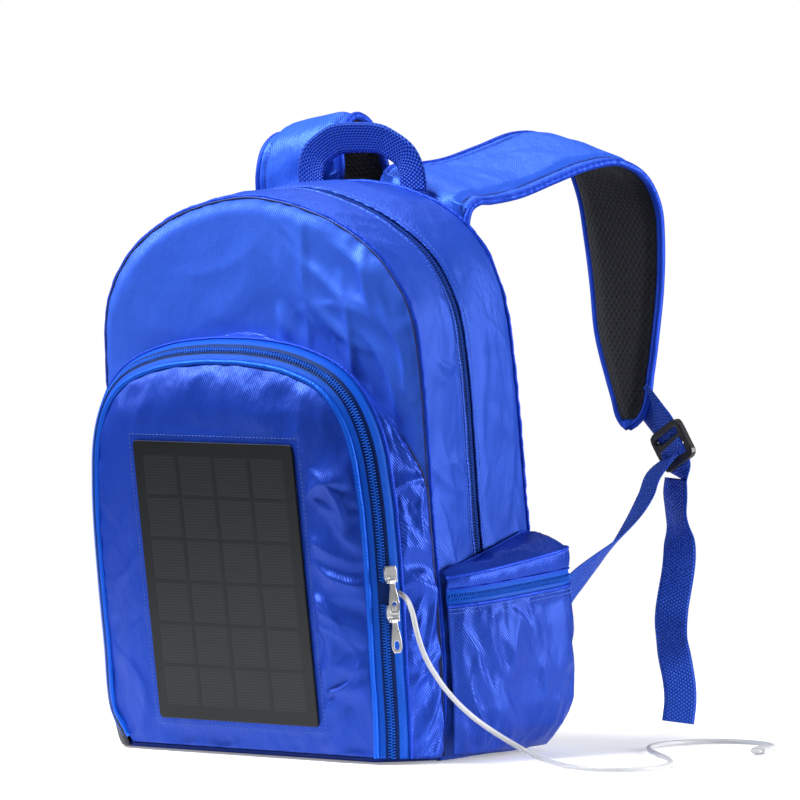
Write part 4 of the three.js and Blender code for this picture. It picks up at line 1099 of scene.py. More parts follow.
pad = plate_mesh("back_pad_mesh", pad_outline, (0, 205), np.concatenate([[1.0, 0.99, 0.975, 0.955], np.linspace(0.93, 0.02, 54)]), pad_y, M_MESH, -2.0)
co = np.array([v.co for v in pad.data.vertices])
belt_uv(pad, co[:, 0], co[:, 2])
ride(pad, "root", "black_mesh", "back_pad")
hh = Heap()
po = np.vstack([pad_outline, pad_outline[:1]])
hh.tube(lean(np.stack([po[:-1, 0], np.full(len(po) - 1, Y_BACK + 7.2), po[:-1, 1]], 1)), 2.0, 8, closed=True)
o = hh.make("back_pad_binding", M_BIND)
ride(o, "root", "blue_nylon")

# base
base_pts = [(118, -60.4), (126, -57), (128, -48), (124, 54), (121, 63), (113, 67.4)]
bo = np.array(base_pts + [(-x, y) for x, y in base_pts[::-1]], float)
dens = []
for i in range(len(bo)):
    a, b = bo[i], bo[(i + 1) % len(bo)]
    k = max(1, int(np.linalg.norm(b - a) / 8))
    dens += [a + (b - a) * j / k for j in range(k)]
bo = np.array(dens)
nb = len(bo)
verts, faces = [], []
zs = [(1.0, 3.0), (1.0, 1.2), (0.992, 0.3), (0.975, 0.0), (0.6, 0.0), (0.25, 0.0)]
for sc_, z in zs:
    verts += [(x * sc_, 3.5 + (y - 3.5) * sc_, z) for x, y in bo]
for r in range(len(zs) - 1):
    for i in range(nb):
        j = (i + 1) % nb
        faces.append((r * nb + i, r * nb + j, (r + 1) * nb + j, (r + 1) * nb + i))
faces.append(tuple(range((len(zs) - 1) * nb, len(zs) * nb)))
faces.append(tuple(range(nb))[::-1])
o = collect("base_cloth", verts, faces, M_DARK)
ride(o, "root", "blue_nylon", "base_panel")

# ------------------------------------------------------------------ front pocket
PRT = np.array(mirror(PK_ROOT), float)
PZT = np.array(mirror(PK_ZIP), float)
PZT[PZT[:, 0] < 0, 0] *= 1.064  # the pocket swells a little wider on the left
PZT[-1, 0] = -121.0


def pk_t(step):
    tt = np.linspace(0, 24, 2000)
    p = catmull(PZT, tt)
    s = np.concatenate([[0], np.cumsum(np.linalg.norm(np.diff(p, axis=0), axis=1))])
    n = int(round(s[-1] / step)) + 1
    u = np.linspace(0, s[-1], n)
    return np.interp(u, s, tt), u


tt, ss = pk_t(2.0)
rootl, zipl = catmull(PRT, tt), catmull(PZT, tt)
zo = offset2(zipl, 4.4)
nv = 30
P = np.zeros((len(tt), nv, 3))
y_root = front_face(rootl[:, 0], rootl[:, 1]) - 0.8
half_s = ss[-1] / 2
for j in range(nv):
    f = j / (nv - 1)
    ff = smooth(f) * 0.35 + f * 0.65
    xz = rootl + (zo - rootl) * ff
    y = y_root + (-89.3 - y_root) * f
    t2v = unit(np.gradient(xz, axis=0))
    nrm = np.stack([t2v[:, 1], -t2v[:, 0]], 1)
    e = math.sin(math.pi * f)
    v = np.full_like(ss, f * 34)
    ang = lambda a, b: (-50 if a < 110 else 48) if a < half_s else (50 if ss[-1] - a < 110 else -48)
    dr = draped(ss, v, (0, ss[-1], 0, 34), 104, 110, ang, 24, (16, 44), (3.6, 8.0), (1.4, 3.6), 1.5) - 1.0
    k = lerp(1.0, 0.45, smooth((xz[:, 1] - 245) / 45))
    q = xz + nrm * (2.4 * e + edge_fall(np.full_like(ss, f), 0.14, 0.12) * (1.9 * k * dr + 0.3 * noise2(ss / 6, v / 8, 107)))[:, None]
    P[:, j] = np.stack([q[:, 0], y + 0 * ss, np.maximum(q[:, 1], 1.2)], 1)
# the pocket gusset takes the darker nylon copy: painted shade
o = sheet_mesh("pocket_gusset_cloth", lean(P), M_GUSSET_PAINTED_SHADE, 1.2, outward)
o.data.materials.append(M_PATCH)
k = 0
for i in range(P.shape[0] - 1):
    for j in range(P.shape[1] - 1):
        if P[i, j, 0] < -100 and P[i, j, 2] < 6 + 20 * j / nv:
            o.data.polygons[k].material_index = 1
        k += 1
ride(o, "root", "blue_nylon", "pocket_gusset")

# dark cloth corner outside the piping at the lower left
nzp = 14
P = np.zeros((nzp, 7, 3))
tail_t = np.linspace(0, 24, 2000)
tail_p = catmull(PZT, tail_t)
tail_p = tail_p[tail_p[:, 0] < -60]
for i in range(nzp):
    z = lerp(1.0, 29.0, i / (nzp - 1))
    xp = float(np.interp(-z, -tail_p[:, 1], tail_p[:, 0])) + 8.0
    for j, f in enumerate(np.linspace(0, 1, 7)):
        g = 1 - (1 - f) ** 2
        xo = -134.5 + 4.0 * max(0, 1 - z / 8.0) ** 2
        P[i, j] = (lerp(xp, xo, g), lerp(-104.5, -84.0, f ** 1.3) + 1.5 * math.sin(3 * f + z / 9.0) * f, z)
o = sheet_mesh("pocket_corner_patch", lean(P), M_PATCH, 1.0, outward)
ride(o, "root", "black_mesh")

# zip tape of the pocket: an outer strip, the coil in a shallow channel, an inner strip, then bright piping
prof = [(4.6, -89.2), (2.6, -93.0), (0.6, -96.6), (-0.8, -98.2), (-1.6, -98.6), (-3.6, -101.2), (-5.6, -103.6), (-6.4, -104.0), (-9.0, -105.6), (-12.0, -107.2)]
tt, ss = pk_t(2.0)
zipl = catmull(PZT, tt)
P = np.zeros((len(tt), len(prof), 3))
for j, (d, y) in enumerate(prof):
    q = offset2(zipl, d)
    P[:, j] = np.stack([q[:, 0], np.full(len(tt), y), np.maximum(q[:, 1], 3.8)], 1)
o = sheet_mesh("pocket_zip_tape", lean(P), M_TAPE, 0.9, outward)
dark_columns(o, P.shape[0], P.shape[1], 2, 7)
ride(o, "root", "zip_tape", "pocket_zip_chain")
t3 = np.linspace(0.02, 23.98, 3000)
zp = catmull(PZT, t3)
sl = np.concatenate([[0], np.cumsum(np.linalg.norm(np.diff(zp, axis=0), axis=1))])
uu = np.arange(0, sl[-1], 1.0)
zp = np.stack([np.interp(uu, sl, zp[:, 0]), np.interp(uu, sl, zp[:, 1])], 1)
C0 = offset2(zp, -3.0)
Pz, Ac, Ou = zip_frames(C0, -101.3, 0.64, 0.77)
keep = ~((C0[:, 0] > 0) & (np.abs(C0[:, 1] - EXIT_Z) < 6.5))
heap = Heap()
runs, cur = [], []
for i, kk in enumerate(keep):
    if kk:
        cur.append(i)
    elif cur:
        runs.append(cur)
        cur = []
if cur:
    runs.append(cur)
for r in runs:
    if len(r) > 6:
        coil(heap, Pz[r], Ac[r], Ou[r], pitch=2.15, half=2.6, r=0.56)
o = heap.make("pocket_zip_coil", M_COIL)
ride(o, "root", "zip_tape")

# pocket face with the laminate let in
face_line = offset2(catmull(PZT, tt), -12.2)
face_line[:, 1] = np.maximum(face_line[:, 1], 5)
nb2 = int(abs(face_line[-1, 0] - face_line[0, 0]) / 3)
xs = np.linspace(face_line[-1, 0], face_line[0, 0], nb2 + 1)[1:-1]
face_outline = np.vstack([face_line, np.stack([xs, np.full(len(xs), 5.0)], 1)])
FMID = (0.0, 130.0)


def solar_plane(z):
    return -(112 + 0.04 * (z - SOLAR["z0"]))


def panel_dist(x, z):
    """Distance from the laminate's edge, negative inside."""
    dx = np.abs(x - SOLAR["x"]) - SOLAR["w"] / 2
    dz = np.abs(z - (SOLAR["z0"] + SOLAR["z1"]) / 2) - (SOLAR["z1"] - SOLAR["z0"]) / 2
    return np.where((dx > 0) & (dz > 0), np.hypot(np.maximum(dx, 0), np.maximum(dz, 0)), np.maximum(dx, dz))


fa_, fr0_ = reach_table(face_outline, FMID)


def face_reach(x, z):
    dx, dz = x - FMID[0], z - FMID[1]
    return np.minimum(np.hypot(dx, dz) / np.interp(np.arctan2(dz, dx), np.concatenate([fa_ - 2 * np.pi, fa_, fa_ + 2 * np.pi]), np.tile(fr0_, 3)), 1.2)


def face_y(x, z, s):
    pd = panel_dist(x, z)
    roll = np.clip((1 - s) / 0.30, 0, 1)
    wide = 1 - (1 - roll) ** 2.2
    taut = smooth((16 - pd) / 15)
    base = lerp(-107.2, solar_plane(z) + 0.25, np.maximum(wide, taut * smooth((1 - s) / 0.06)))
    arc = np.arctan2(z - FMID[1], x - FMID[0]) * 135
    puck = np.sin(arc / 3.4 + 4 * noise2(arc / 22, 0 * arc, 133)) * np.exp(-(1 - s) / 0.035) * smooth((1 - s) / 0.010) * (0.55 + 0.45 * noise2(arc / 30, 0 * arc + 2, 134)) * 0.9
    puck = puck + noise2(arc / 13, s * 9, 135) * np.exp(-((1 - s) / 0.12) ** 2) * smooth((1 - s) / 0.03) * 1.3
    free = smooth((panel_dist(x, z) - 3) / 9) * smooth((1 - s) / 0.05)
    right_ = smooth((x - 50) / 14)
    top_ = smooth((z - 228) / 26)
    ang = lambda u, v: float(np.interp(v, [0, 60, 95, 190, 215, 290], [42, 30, -32, -30, 44, 50]))
    dr = draped(x, z, (64, 122, 4, 262), 126, 40, ang, 20, (18, 46), (4.5, 10.0), (1.6, 4.0), 1.3) - 1.1
    dt = draped(x, z, (-100, 100, 236, 290), 128, 14, lambda u, v: -70 + u * 0.6, 18, (18, 40), (7, 13), (0.7, 2.0), 1.3) - 0.3
    dl = draped(x, z, (-118, -70, 4, 250), 130, 12, lambda u, v: 75, 16, (24, 60), (5, 11), (0.6, 1.8), 1.3) - 0.3
    low = noise3(np.stack([x / 26, z / 14, 0 * x], -1), 129) * 0.7 * smooth((24 - z) / 14)
    n = noise3(np.stack([x / 46, z / 44, 0 * x], -1), 125) * 0.9
    return base - puck * smooth((pd - 3) / 5) - free * (n + low + 2.0 * right_ * dr * (1 - 0.6 * top_) + 1.2 * top_ * dt + (1 - right_) * (1 - top_) * dl)


FACE_OUT = face_outline
# the pocket face takes the darker nylon copy: painted shade
o = plate_mesh("pocket_face_cloth", FACE_OUT, FMID, np.concatenate([[1.0, 0.99, 0.975, 0.955], np.linspace(0.935, 0.03, 96)]), face_y, M_POCKET_PAINTED_SHADE, 1.5)
ride(o, "root", "blue_nylon", "pocket_face")
# bright piping between the face and the zip tape
hh = Heap()
pl = offset2(catmull(PZT, tt), -12.0)
pl[:, 1] = np.maximum(pl[:, 1], 4.4)
w = noise2(ss / 12, 0 * ss, 131) * 0.25
hh.tube(lean(np.stack([pl[:, 0], -107.6 + w, pl[:, 1]], 1)), 2.0 + 0.15 * w, 12)
o = hh.make("pocket_piping", M_PIPE)
ride(o, "root", "blue_nylon")
# outer piping along the zip's other edge, a narrow rolled seam
hh = Heap()
pl = offset2(catmull(PZT, tt), 4.9)
pl[:, 1] = np.maximum(pl[:, 1], 3.0)
hh.tube(lean(np.stack([pl[:, 0], -88.9 + w, pl[:, 1]], 1)), 1.3, 10)
o = hh.make("pocket_zip_seam", M_BIND)
ride(o, "root", "blue_nylon")
# seam where the pocket meets the front panel: a thin near-black tube, painted shadow in the seam line
hh = Heap()
pr = catmull(PRT, tt)
hh.tube(lean(np.stack([pr[:, 0], front_face(pr[:, 0], pr[:, 1]) - 1.0, np.maximum(pr[:, 1], 2)], 1)), 0.8, 6)
o = hh.make("pocket_root_seam", M_SEAM)
ride(o, "root", "blue_nylon")
# pocket bottom
pb = [(136, -66), (122, -88), (110, -103), (-116, -103), (-128, -88), (-136, -66)]
dens = []
for i in range(len(pb)):
    a, b = np.array(pb[i], float), np.array(pb[(i + 1) % len(pb)], float)
    k = max(1, int(np.linalg.norm(b - a) / 8))
    dens += [a + (b - a) * j / k for j in range(k)]
pb = np.array(dens)
nb = len(pb)
verts, faces = [], []
zs = [(1.0, 5.2), (1.005, 3.2), (0.995, 1.4), (0.97, 0.8), (0.5, 0.8), (0.2, 0.8)]
for sc_, z in zs:
    verts += [(x * sc_, -84 + (y + 84) * sc_, z + 0.25 * (noise2(np.array([x / 9.0]), np.array([y / 9.0]), 5)[0] if 0.99 < sc_ else 0)) for x, y in pb]
for r in range(len(zs) - 1):
    for i in range(nb):
        j = (i + 1) % nb
        faces.append((r * nb + i, r * nb + j, (r + 1) * nb + j, (r + 1) * nb + i))
faces.append(tuple(range((len(zs) - 1) * nb, len(zs) * nb)))
faces.append(tuple(range(nb))[::-1])
o = collect("pocket_bottom_cloth", verts, faces, M_DARK)
ride(o, "root", "blue_nylon", "pocket_bottom")

# ------------------------------------------------------------------ solar laminate
def rounded_rect(w, h, r, k=6):
    out = []
    for cx, cz, a in ((w / 2 - r, h / 2 - r, 0), (-w / 2 + r, h / 2 - r, 90), (-w / 2 + r, -h / 2 + r, 180), (w / 2 - r, -h / 2 + r, 270)):
        for i in range(k + 1):
            t = math.radians(a + 90 * i / k)
            out.append((cx + r * math.cos(t), cz + r * math.sin(t)))
    return np.array(out)


zc = (SOLAR["z0"] + SOLAR["z1"]) / 2
H = SOLAR["z1"] - SOLAR["z0"]
verts, faces, uvs = [], [], []
rr = rounded_rect(SOLAR["w"], H, 3.2)
n = len(rr)
for inset, dy in ((0.0, 0.0), (0.0, 1.5), (0.35, 1.9), (0.9, 2.0)):
    sx, sz = (SOLAR["w"] / 2 - inset) / (SOLAR["w"] / 2), (H / 2 - inset) / (H / 2)
    for x, z in rr:
        px, pz = SOLAR["x"] + x * sx, zc + z * sz
        verts.append((px, solar_plane(pz) - 0.4 - dy, pz))
for r in range(3):
    for i in range(n):
        j = (i + 1) % n
        faces.append((r * n + i, (r + 1) * n + i, (r + 1) * n + j, r * n + j))
faces.append(tuple(range(3 * n, 4 * n))[::-1])
faces.append(tuple(range(n)))
o = collect("solar_laminate_sheet", lean(np.array(verts)), faces, M_LAM, smooth_shade=False)
layer = o.data.uv_layers.new(name="panel")
vv = np.array(verts)
for lp in o.data.loops:
    x, _, z = vv[lp.vertex_index]
    layer.data[lp.index].uv = (x - (SOLAR["x"] - SOLAR["w"] / 2), z - SOLAR["z0"])
bm = bmesh.new()
bm.from_mesh(o.data)
bmesh.ops.recalc_face_normals(bm, faces=bm.faces)
bm.to_mesh(o.data)
bm.free()
ride(o, "root", "solar_laminate", "solar_panel")
# stitched frame outside the laminate
heap = Heap()
fr = rounded_rect(SOLAR["w"] + 9, H + 9, 2.0, 3)
fr = np.vstack([fr, fr[:1]])
fine = []
for a, b in zip(fr[:-1], fr[1:]):
    k = max(1, int(np.linalg.norm(b - a) / 2))
    fine += [a + (b - a) * j / k for j in range(k)]
fine = np.array(fine)
X, Z = SOLAR["x"] + fine[:, 0], zc + fine[:, 1]
dd = (X - FMID[0], Z - FMID[1])
fa, fr_ = reach_table(face_outline, FMID)
sr = np.hypot(*dd) / np.interp(np.arctan2(dd[1], dd[0]), np.concatenate([fa - 2 * np.pi, fa, fa + 2 * np.pi]), np.tile(fr_, 3))
Q = lean(np.stack([X, face_y(X, Z, sr) - 0.05, Z], 1))
stitches(heap, Q, (0, -1, 0), 1.7, 1.5, 0.22, 0.2)
o = heap.make("laminate_stitching", M_THREAD_PALE)
ride(o, "root", "blue_nylon")

# ------------------------------------------------------------------ side pockets
SP = [((143.6, -59.5), (148.6, -59.5)), ((144.6, -46), (158, -46)), ((144.8, -25), (166.5, -25)), ((144.6, 0), (173, 0)), ((143.8, 22), (178, 24)),
      ((142, 42), (181, 45)), ((140.8, 52), (175.5, 57.5)), ((140.2, 58), (158, 61.5)), ((139.4, 61.5), (144.5, 65))]
SPW = np.array([a for a, _ in SP], float)
SPO = np.array([b for _, b in SP], float)


def sp_curves(n):
    both = np.hstack([SPW, SPO])
    fine = catmull(both, np.linspace(0, 8, 400))
    s = np.concatenate([[0], np.cumsum(np.linalg.norm(np.diff(fine[:, 2:], axis=0), axis=1))])
    u = np.linspace(0, s[-1], n)
    out = np.stack([np.interp(u, s, fine[:, k]) for k in range(4)], 1)
    return out[:, :2], out[:, 2:], u


def side_pocket(side, name, seed):
    W, O, u = sp_curves(84)
    al = np.clip((O[:, 1] + 59.5) / 112, 0, 1)
    z_wall, z_edge, z_hem, z_body = lerp(136, 160, al), lerp(133, 150, al), lerp(124, 135, al), lerp(112, 123, al)
    d = np.linalg.norm(O - W, axis=1)
    ends = smooth(u / 14) * smooth((u[-1] - u) / 14)

    def pt(k, z, push=0.0):
        k = np.broadcast_to(k, d.shape)
        f = k + push / d
        return np.stack([side * lerp(W[:, 0], O[:, 0], f), lerp(W[:, 1], O[:, 1], f), np.broadcast_to(z, d.shape)], 1)

    # body cloth, from under the bag up to the hem of the zip
    rows = []
    nz = 56
    for j in range(nz):
        f = j / (nz - 1)
        z = lerp(4.5, z_body, f)
        k = np.interp(f, [0, 0.05, 0.15, 0.30, 0.52, 0.8, 1], [0.26, 0.44, 0.72, 0.92, 1.03, 1.03, 1.0])
        inn = smooth(f / 0.08) * smooth((1 - f) / 0.10)
        zz_ = np.broadcast_to(z, u.shape)
        d1 = draped(u, zz_, (0, 60, 0, 122), seed, 26, lambda a, b: -66, 18, (18, 44), (4.5, 9), (2.0, 4.6), 1.2) - 1.2
        d2 = draped(u, zz_, (40, u[-1], 0, 122), seed + 3, 20, lambda a, b: -78, 22, (26, 60), (6, 13), (1.2, 3.2), 1.2) - 0.9
        gather = np.sin(u / 2.7 + 4 * noise2(u / 18, 0 * u, seed + 4)) * 0.9 * np.exp(-(1 - f) / 0.10)
        rows.append(pt(k, z, ends * (inn * 1.5 * (d1 + d2) + gather * smooth((1 - f) / 0.03))))
    P = np.stack(rows, 1)
    cen = lambda A: np.stack([np.full(A.shape[:2], side * 1.0), np.zeros(A.shape[:2]), np.zeros(A.shape[:2])], -1)
    # the side pocket takes the darker nylon copy: painted shade
    o = sheet_mesh("side_pocket_cloth_" + name, lean(P), M_SPOCKET_PAINTED_SHADE, 1.3, cen)
    ride(o, "root", "blue_nylon", "side_pocket_" + name)
    # zip tape
    rows = [pt(1.0, lerp(z_body, z_hem, f), 0.15 - 0.54 * max(0.0, 1 - abs(2 * f - 1)) ** 0.5) for f in np.linspace(-0.05, 1.05, 8)]
    o = sheet_mesh("side_zip_tape_" + name, lean(np.stack(rows, 1)), M_TAPE, 0.8, cen)
    ride(o, "root", "zip_tape", "side_zip_chain_" + name)
    mid = pt(1.0, (z_body + z_hem) / 2, 0.1)
    mid_w = lean(mid)
    T = np.gradient(mid_w, axis=0)
    T /= np.linalg.norm(T, axis=1)[:, None]
    up = np.broadcast_to(np.array([0, -LEAN, 1.0]), T.shape)
    out = np.cross(T, up)
    out /= np.linalg.norm(out, axis=1)[:, None]
    if np.sum(out[:, 0]) * side < 0:
        out = -out
    ac = np.cross(out, T)
    fine_s = np.concatenate([[0], np.cumsum(np.linalg.norm(np.diff(mid_w, axis=0), axis=1))])
    v = np.arange(1.5, fine_s[-1] - 1.5, 1.0)
    g = lambda A: np.stack([np.interp(v, fine_s, A[:, i]) for i in range(3)], 1)
    heap = Heap()
    coil(heap, g(mid_w), g(ac), g(out), pitch=2.0, half=2.2, r=0.5)
    o = heap.make("side_zip_coil_" + name, M_COIL)
    ride(o, "root", "zip_tape")
    # hem of the body cloth: a doubled edge with two stitch rows, and a rolled lip
    heap, lip = Heap(), Heap()
    for dz in (-2.2, -5.0):
        q = pt(lerp(1.0, 1.01, 0.5), z_body + dz, 1.0)
        qn = np.stack([np.full(len(q), side * 1.0), np.zeros(len(q)), np.zeros(len(q))], 1)
        stitches(heap, lean(q), qn, 2.2, 1.1, 0.26, 0.35)
    lip.tube(lean(pt(1.0, z_body, 0.35 + 0.25 * noise2(u / 8, 0 * u, seed + 6))), 1.25, 10, flat=1.0)
    o = lip.make("side_pocket_lip_" + name, M_BIND)
    ride(o, "root", "blue_nylon")
    o = heap.make("side_pocket_stitching_" + name, M_THREAD)
    ride(o, "root", "blue_nylon")
    # flap: from the wall down and over the edge
    rows = []
    for j in range(20):
        f = j / 19
        if f < 0.62:
            g_ = f / 0.62
            k = g_
            z = lerp(z_wall, z_edge, g_ ** 1.15) + 3.0 * math.sin(math.pi * g_)
            q = pt(max(k, 0.02), z, 0.0)
            q[:, 2] += ends * (noise2(u / 20, 0 * u + g_ * 2.4, seed + 11) * 1.6 + crease(u / 26 + g_, g_ * 1.5 - u / 60, seed + 13, 1.5) * 1.0) * math.sin(math.pi * g_) * 1.0
        else:
            g_ = (f - 0.62) / 0.38
            z = lerp(z_edge, z_hem, g_)
            q = pt(1.0, z, (1.6 * math.sin(math.pi * min(1, g_ * 0.8 + 0.2)) + ends * noise2(u / 10, 0 * u, seed + 15) * 0.6))
        rows.append(q)
    # the flap takes the darker pocket-gusset nylon copy: painted shade
    o = sheet_mesh("side_pocket_flap_cloth_" + name, lean(np.stack(rows, 1)), M_GUSSET_PAINTED_SHADE, 1.3, lambda A: np.stack([np.full(A.shape[:2], side * 0.6), np.zeros(A.shape[:2]), np.ones(A.shape[:2])], -1))
    ride(o, "root", "blue_nylon", "side_pocket_flap_" + name)
    lip = Heap()
    lip.tube(lean(pt(1.0, z_edge, 0.5 + 0.3 * noise2(u / 9, 0 * u, seed + 17))), 1.3, 10)
    lip.tube(lean(pt(1.0, z_hem, 0.35)), 0.8, 8)
    w2 = pt(0.03, z_wall, 0.0)
    lip.tube(lean(w2), 1.2, 8)
    o = lip.make("side_flap_seam_" + name, M_BIND)
    ride(o, "root", "blue_nylon")


side_pocket(1, "right", 201)
side_pocket(-1, "left", 231)

# ------------------------------------------------------------------ straps and webbing
STRAPS = {
    "right": [
        (57, 36, 412, 40, 0.946, 0, -0.325), (58, 64, 413, 39.5, 0.946, 0, -0.325), (60, 100, 417, 38, 0.946, 0, -0.325),
        (64, 140, 427, 37, 0.946, 0, -0.325), (68, 180, 437, 37, 0.946, 0, -0.325), (74, 212, 438, 36.5, 0.96, 0.03, -0.27),
        (80, 236, 425, 36, 0.98, 0.04, -0.2), (86, 247, 400, 35.5, 0.99, 0.02, -0.1), (89, 250, 370, 34, 1, 0, 0),
        (92, 249, 335, 31, 1, 0, 0), (94, 246, 300, 27, 1, 0, 0), (98, 243, 270, 20.5, 1, 0, 0),
        (102, 240, 246, 13, 1, 0, 0), (101, 238, 228, 6, 1, 0, 0)],
    "left": [
        (-56, 31, 413, 40, -0.95, 0, -0.31), (-56, 30, 430, 39, -0.96, 0, -0.26), (-55, 35, 447, 38, -0.97, 0, -0.22),
        (-53, 49, 456, 37, -0.97, 0, -0.2), (-51, 64, 450, 37, -0.98, 0, -0.16), (-49, 76, 431, 37, -0.99, 0, -0.1),
        (-48, 85, 408, 36.5, -1, 0, 0), (-50, 99, 375, 36, -1, 0, 0), (-55, 120, 335, 35, -1, 0, 0),
        (-62, 144, 290, 32, -1, 0, 0), (-72, 159, 246, 27, -1, 0, 0), (-83, 163, 212, 20, -1, 0, 0),
        (-94, 162, 193, 13, -1, 0, 0), (-102, 160.5, 179, 6, -1, 0, 0)],
}
LOCK = {
    "right": {"c": (139, 241, 215), "d": (0.5, 0.03, -0.866), "W": (0.83, -0.25, 0.48)},
    "left": {"c": (-122, 156, 148), "d": (-0.3, -0.04, -0.95), "W": (-0.95, 0, 0.3)},
}
LOWER = {
    "right": [(128, 232, 193), (124, 227, 178), (122, 215, 163), (122, 196, 149), (123, 172, 136), (126, 146, 126), (129, 122, 117), (131.5, 106, 110), (132.5, 96, 107)],
    "left": [(-121.5, 148, 126), (-124, 144.5, 112), (-127.5, 136, 103), (-130.2, 123, 101.5), (-131.9, 109, 104.5), (-132.6, 96, 107.5)],
}
LOWER_END = {"right": (0, 0.28, 1), "left": (0, 0.22, 1)}
TAIL_TOP = {"right": (138, 246.5, 190), "left": (-119, 165, 124)}


def ribbon(name, path, width, W, mat, thick=1.6, body="root", nu=None, step=1.6, ridge=0.16, replaces=(), edge=0.25, raw=False, cross=12):
    """Webbing along path (n, 3) with width direction W at each point: rounded selvedges, cross ribs in the mesh, belt UVs."""
    pts = np.hstack([np.asarray(path, float), np.asarray(W, float)])
    fine = catmull(pts, np.linspace(0, len(pts) - 1, (len(pts) - 1) * 20 + 1))
    s = np.concatenate([[0], np.cumsum(np.linalg.norm(np.diff(fine[:, :3], axis=0), axis=1))])
    n = max(4, int(s[-1] / step))
    u = np.linspace(0, s[-1], n)
    f = np.stack([np.interp(u, s, fine[:, k]) for k in range(6)], 1)
    p, w = f[:, :3], f[:, 3:]
    T = np.gradient(p, axis=0)
    T = unit(T)
    if not raw:
        w = w - T * np.sum(w * T, 1)[:, None]
    w = unit(w)
    Nn = unit(np.cross(T, w))
    c = np.linspace(-1, 1, cross)
    sec = [(x, 1) for x in c] + [(1.0, 0.0)] + [(x, -1) for x in c[::-1]] + [(-1.0, 0.0)]
    hw, ht = width / 2, thick / 2
    verts, uu2, vv2 = [], [], []
    for i in range(n):
        rib = 1 + ridge * math.sin(2 * math.pi * u[i] / 3.2)
        for x, sgn in sec:
            q = p[i] + w[i] * x * hw + Nn[i] * sgn * ht * rib * (1 - 0.45 * max(0, abs(x) - 0.86) / 0.14 * (1 if sgn else 0))
            verts.append(q)
            uu2.append(x * hw * 0.001)
            vv2.append(u[i] * 0.001)
    m = len(sec)
    faces = grid_faces(n, m, 0, False, True)
    faces.append(tuple(range(m))[::-1])
    faces.append(tuple((n - 1) * m + k for k in range(m)))
    o = collect(name, verts, faces, mat)
    bm = bmesh.new()
    bm.from_mesh(o.data)
    bmesh.ops.recalc_face_normals(bm, faces=bm.faces)
    bm.to_mesh(o.data)
    bm.free()
    belt_uv(o, np.array(uu2), np.array(vv2))
    return o


ROOTS = {
    "right": [(56.5, 28.2, 372, 40, 0.946, 0, -0.325), (56.8, 29.0, 391, 40, 0.946, 0, -0.325), (57, 33.5, 406, 40, 0.946, 0, -0.325), (57.3, 46, 412.4, 40, 0.946, 0, -0.325)],
    "left": [(-56, 27.5, 376, 40, -0.95, 0, -0.31), (-56, 28.6, 396, 40, -0.95, 0, -0.31)],
}


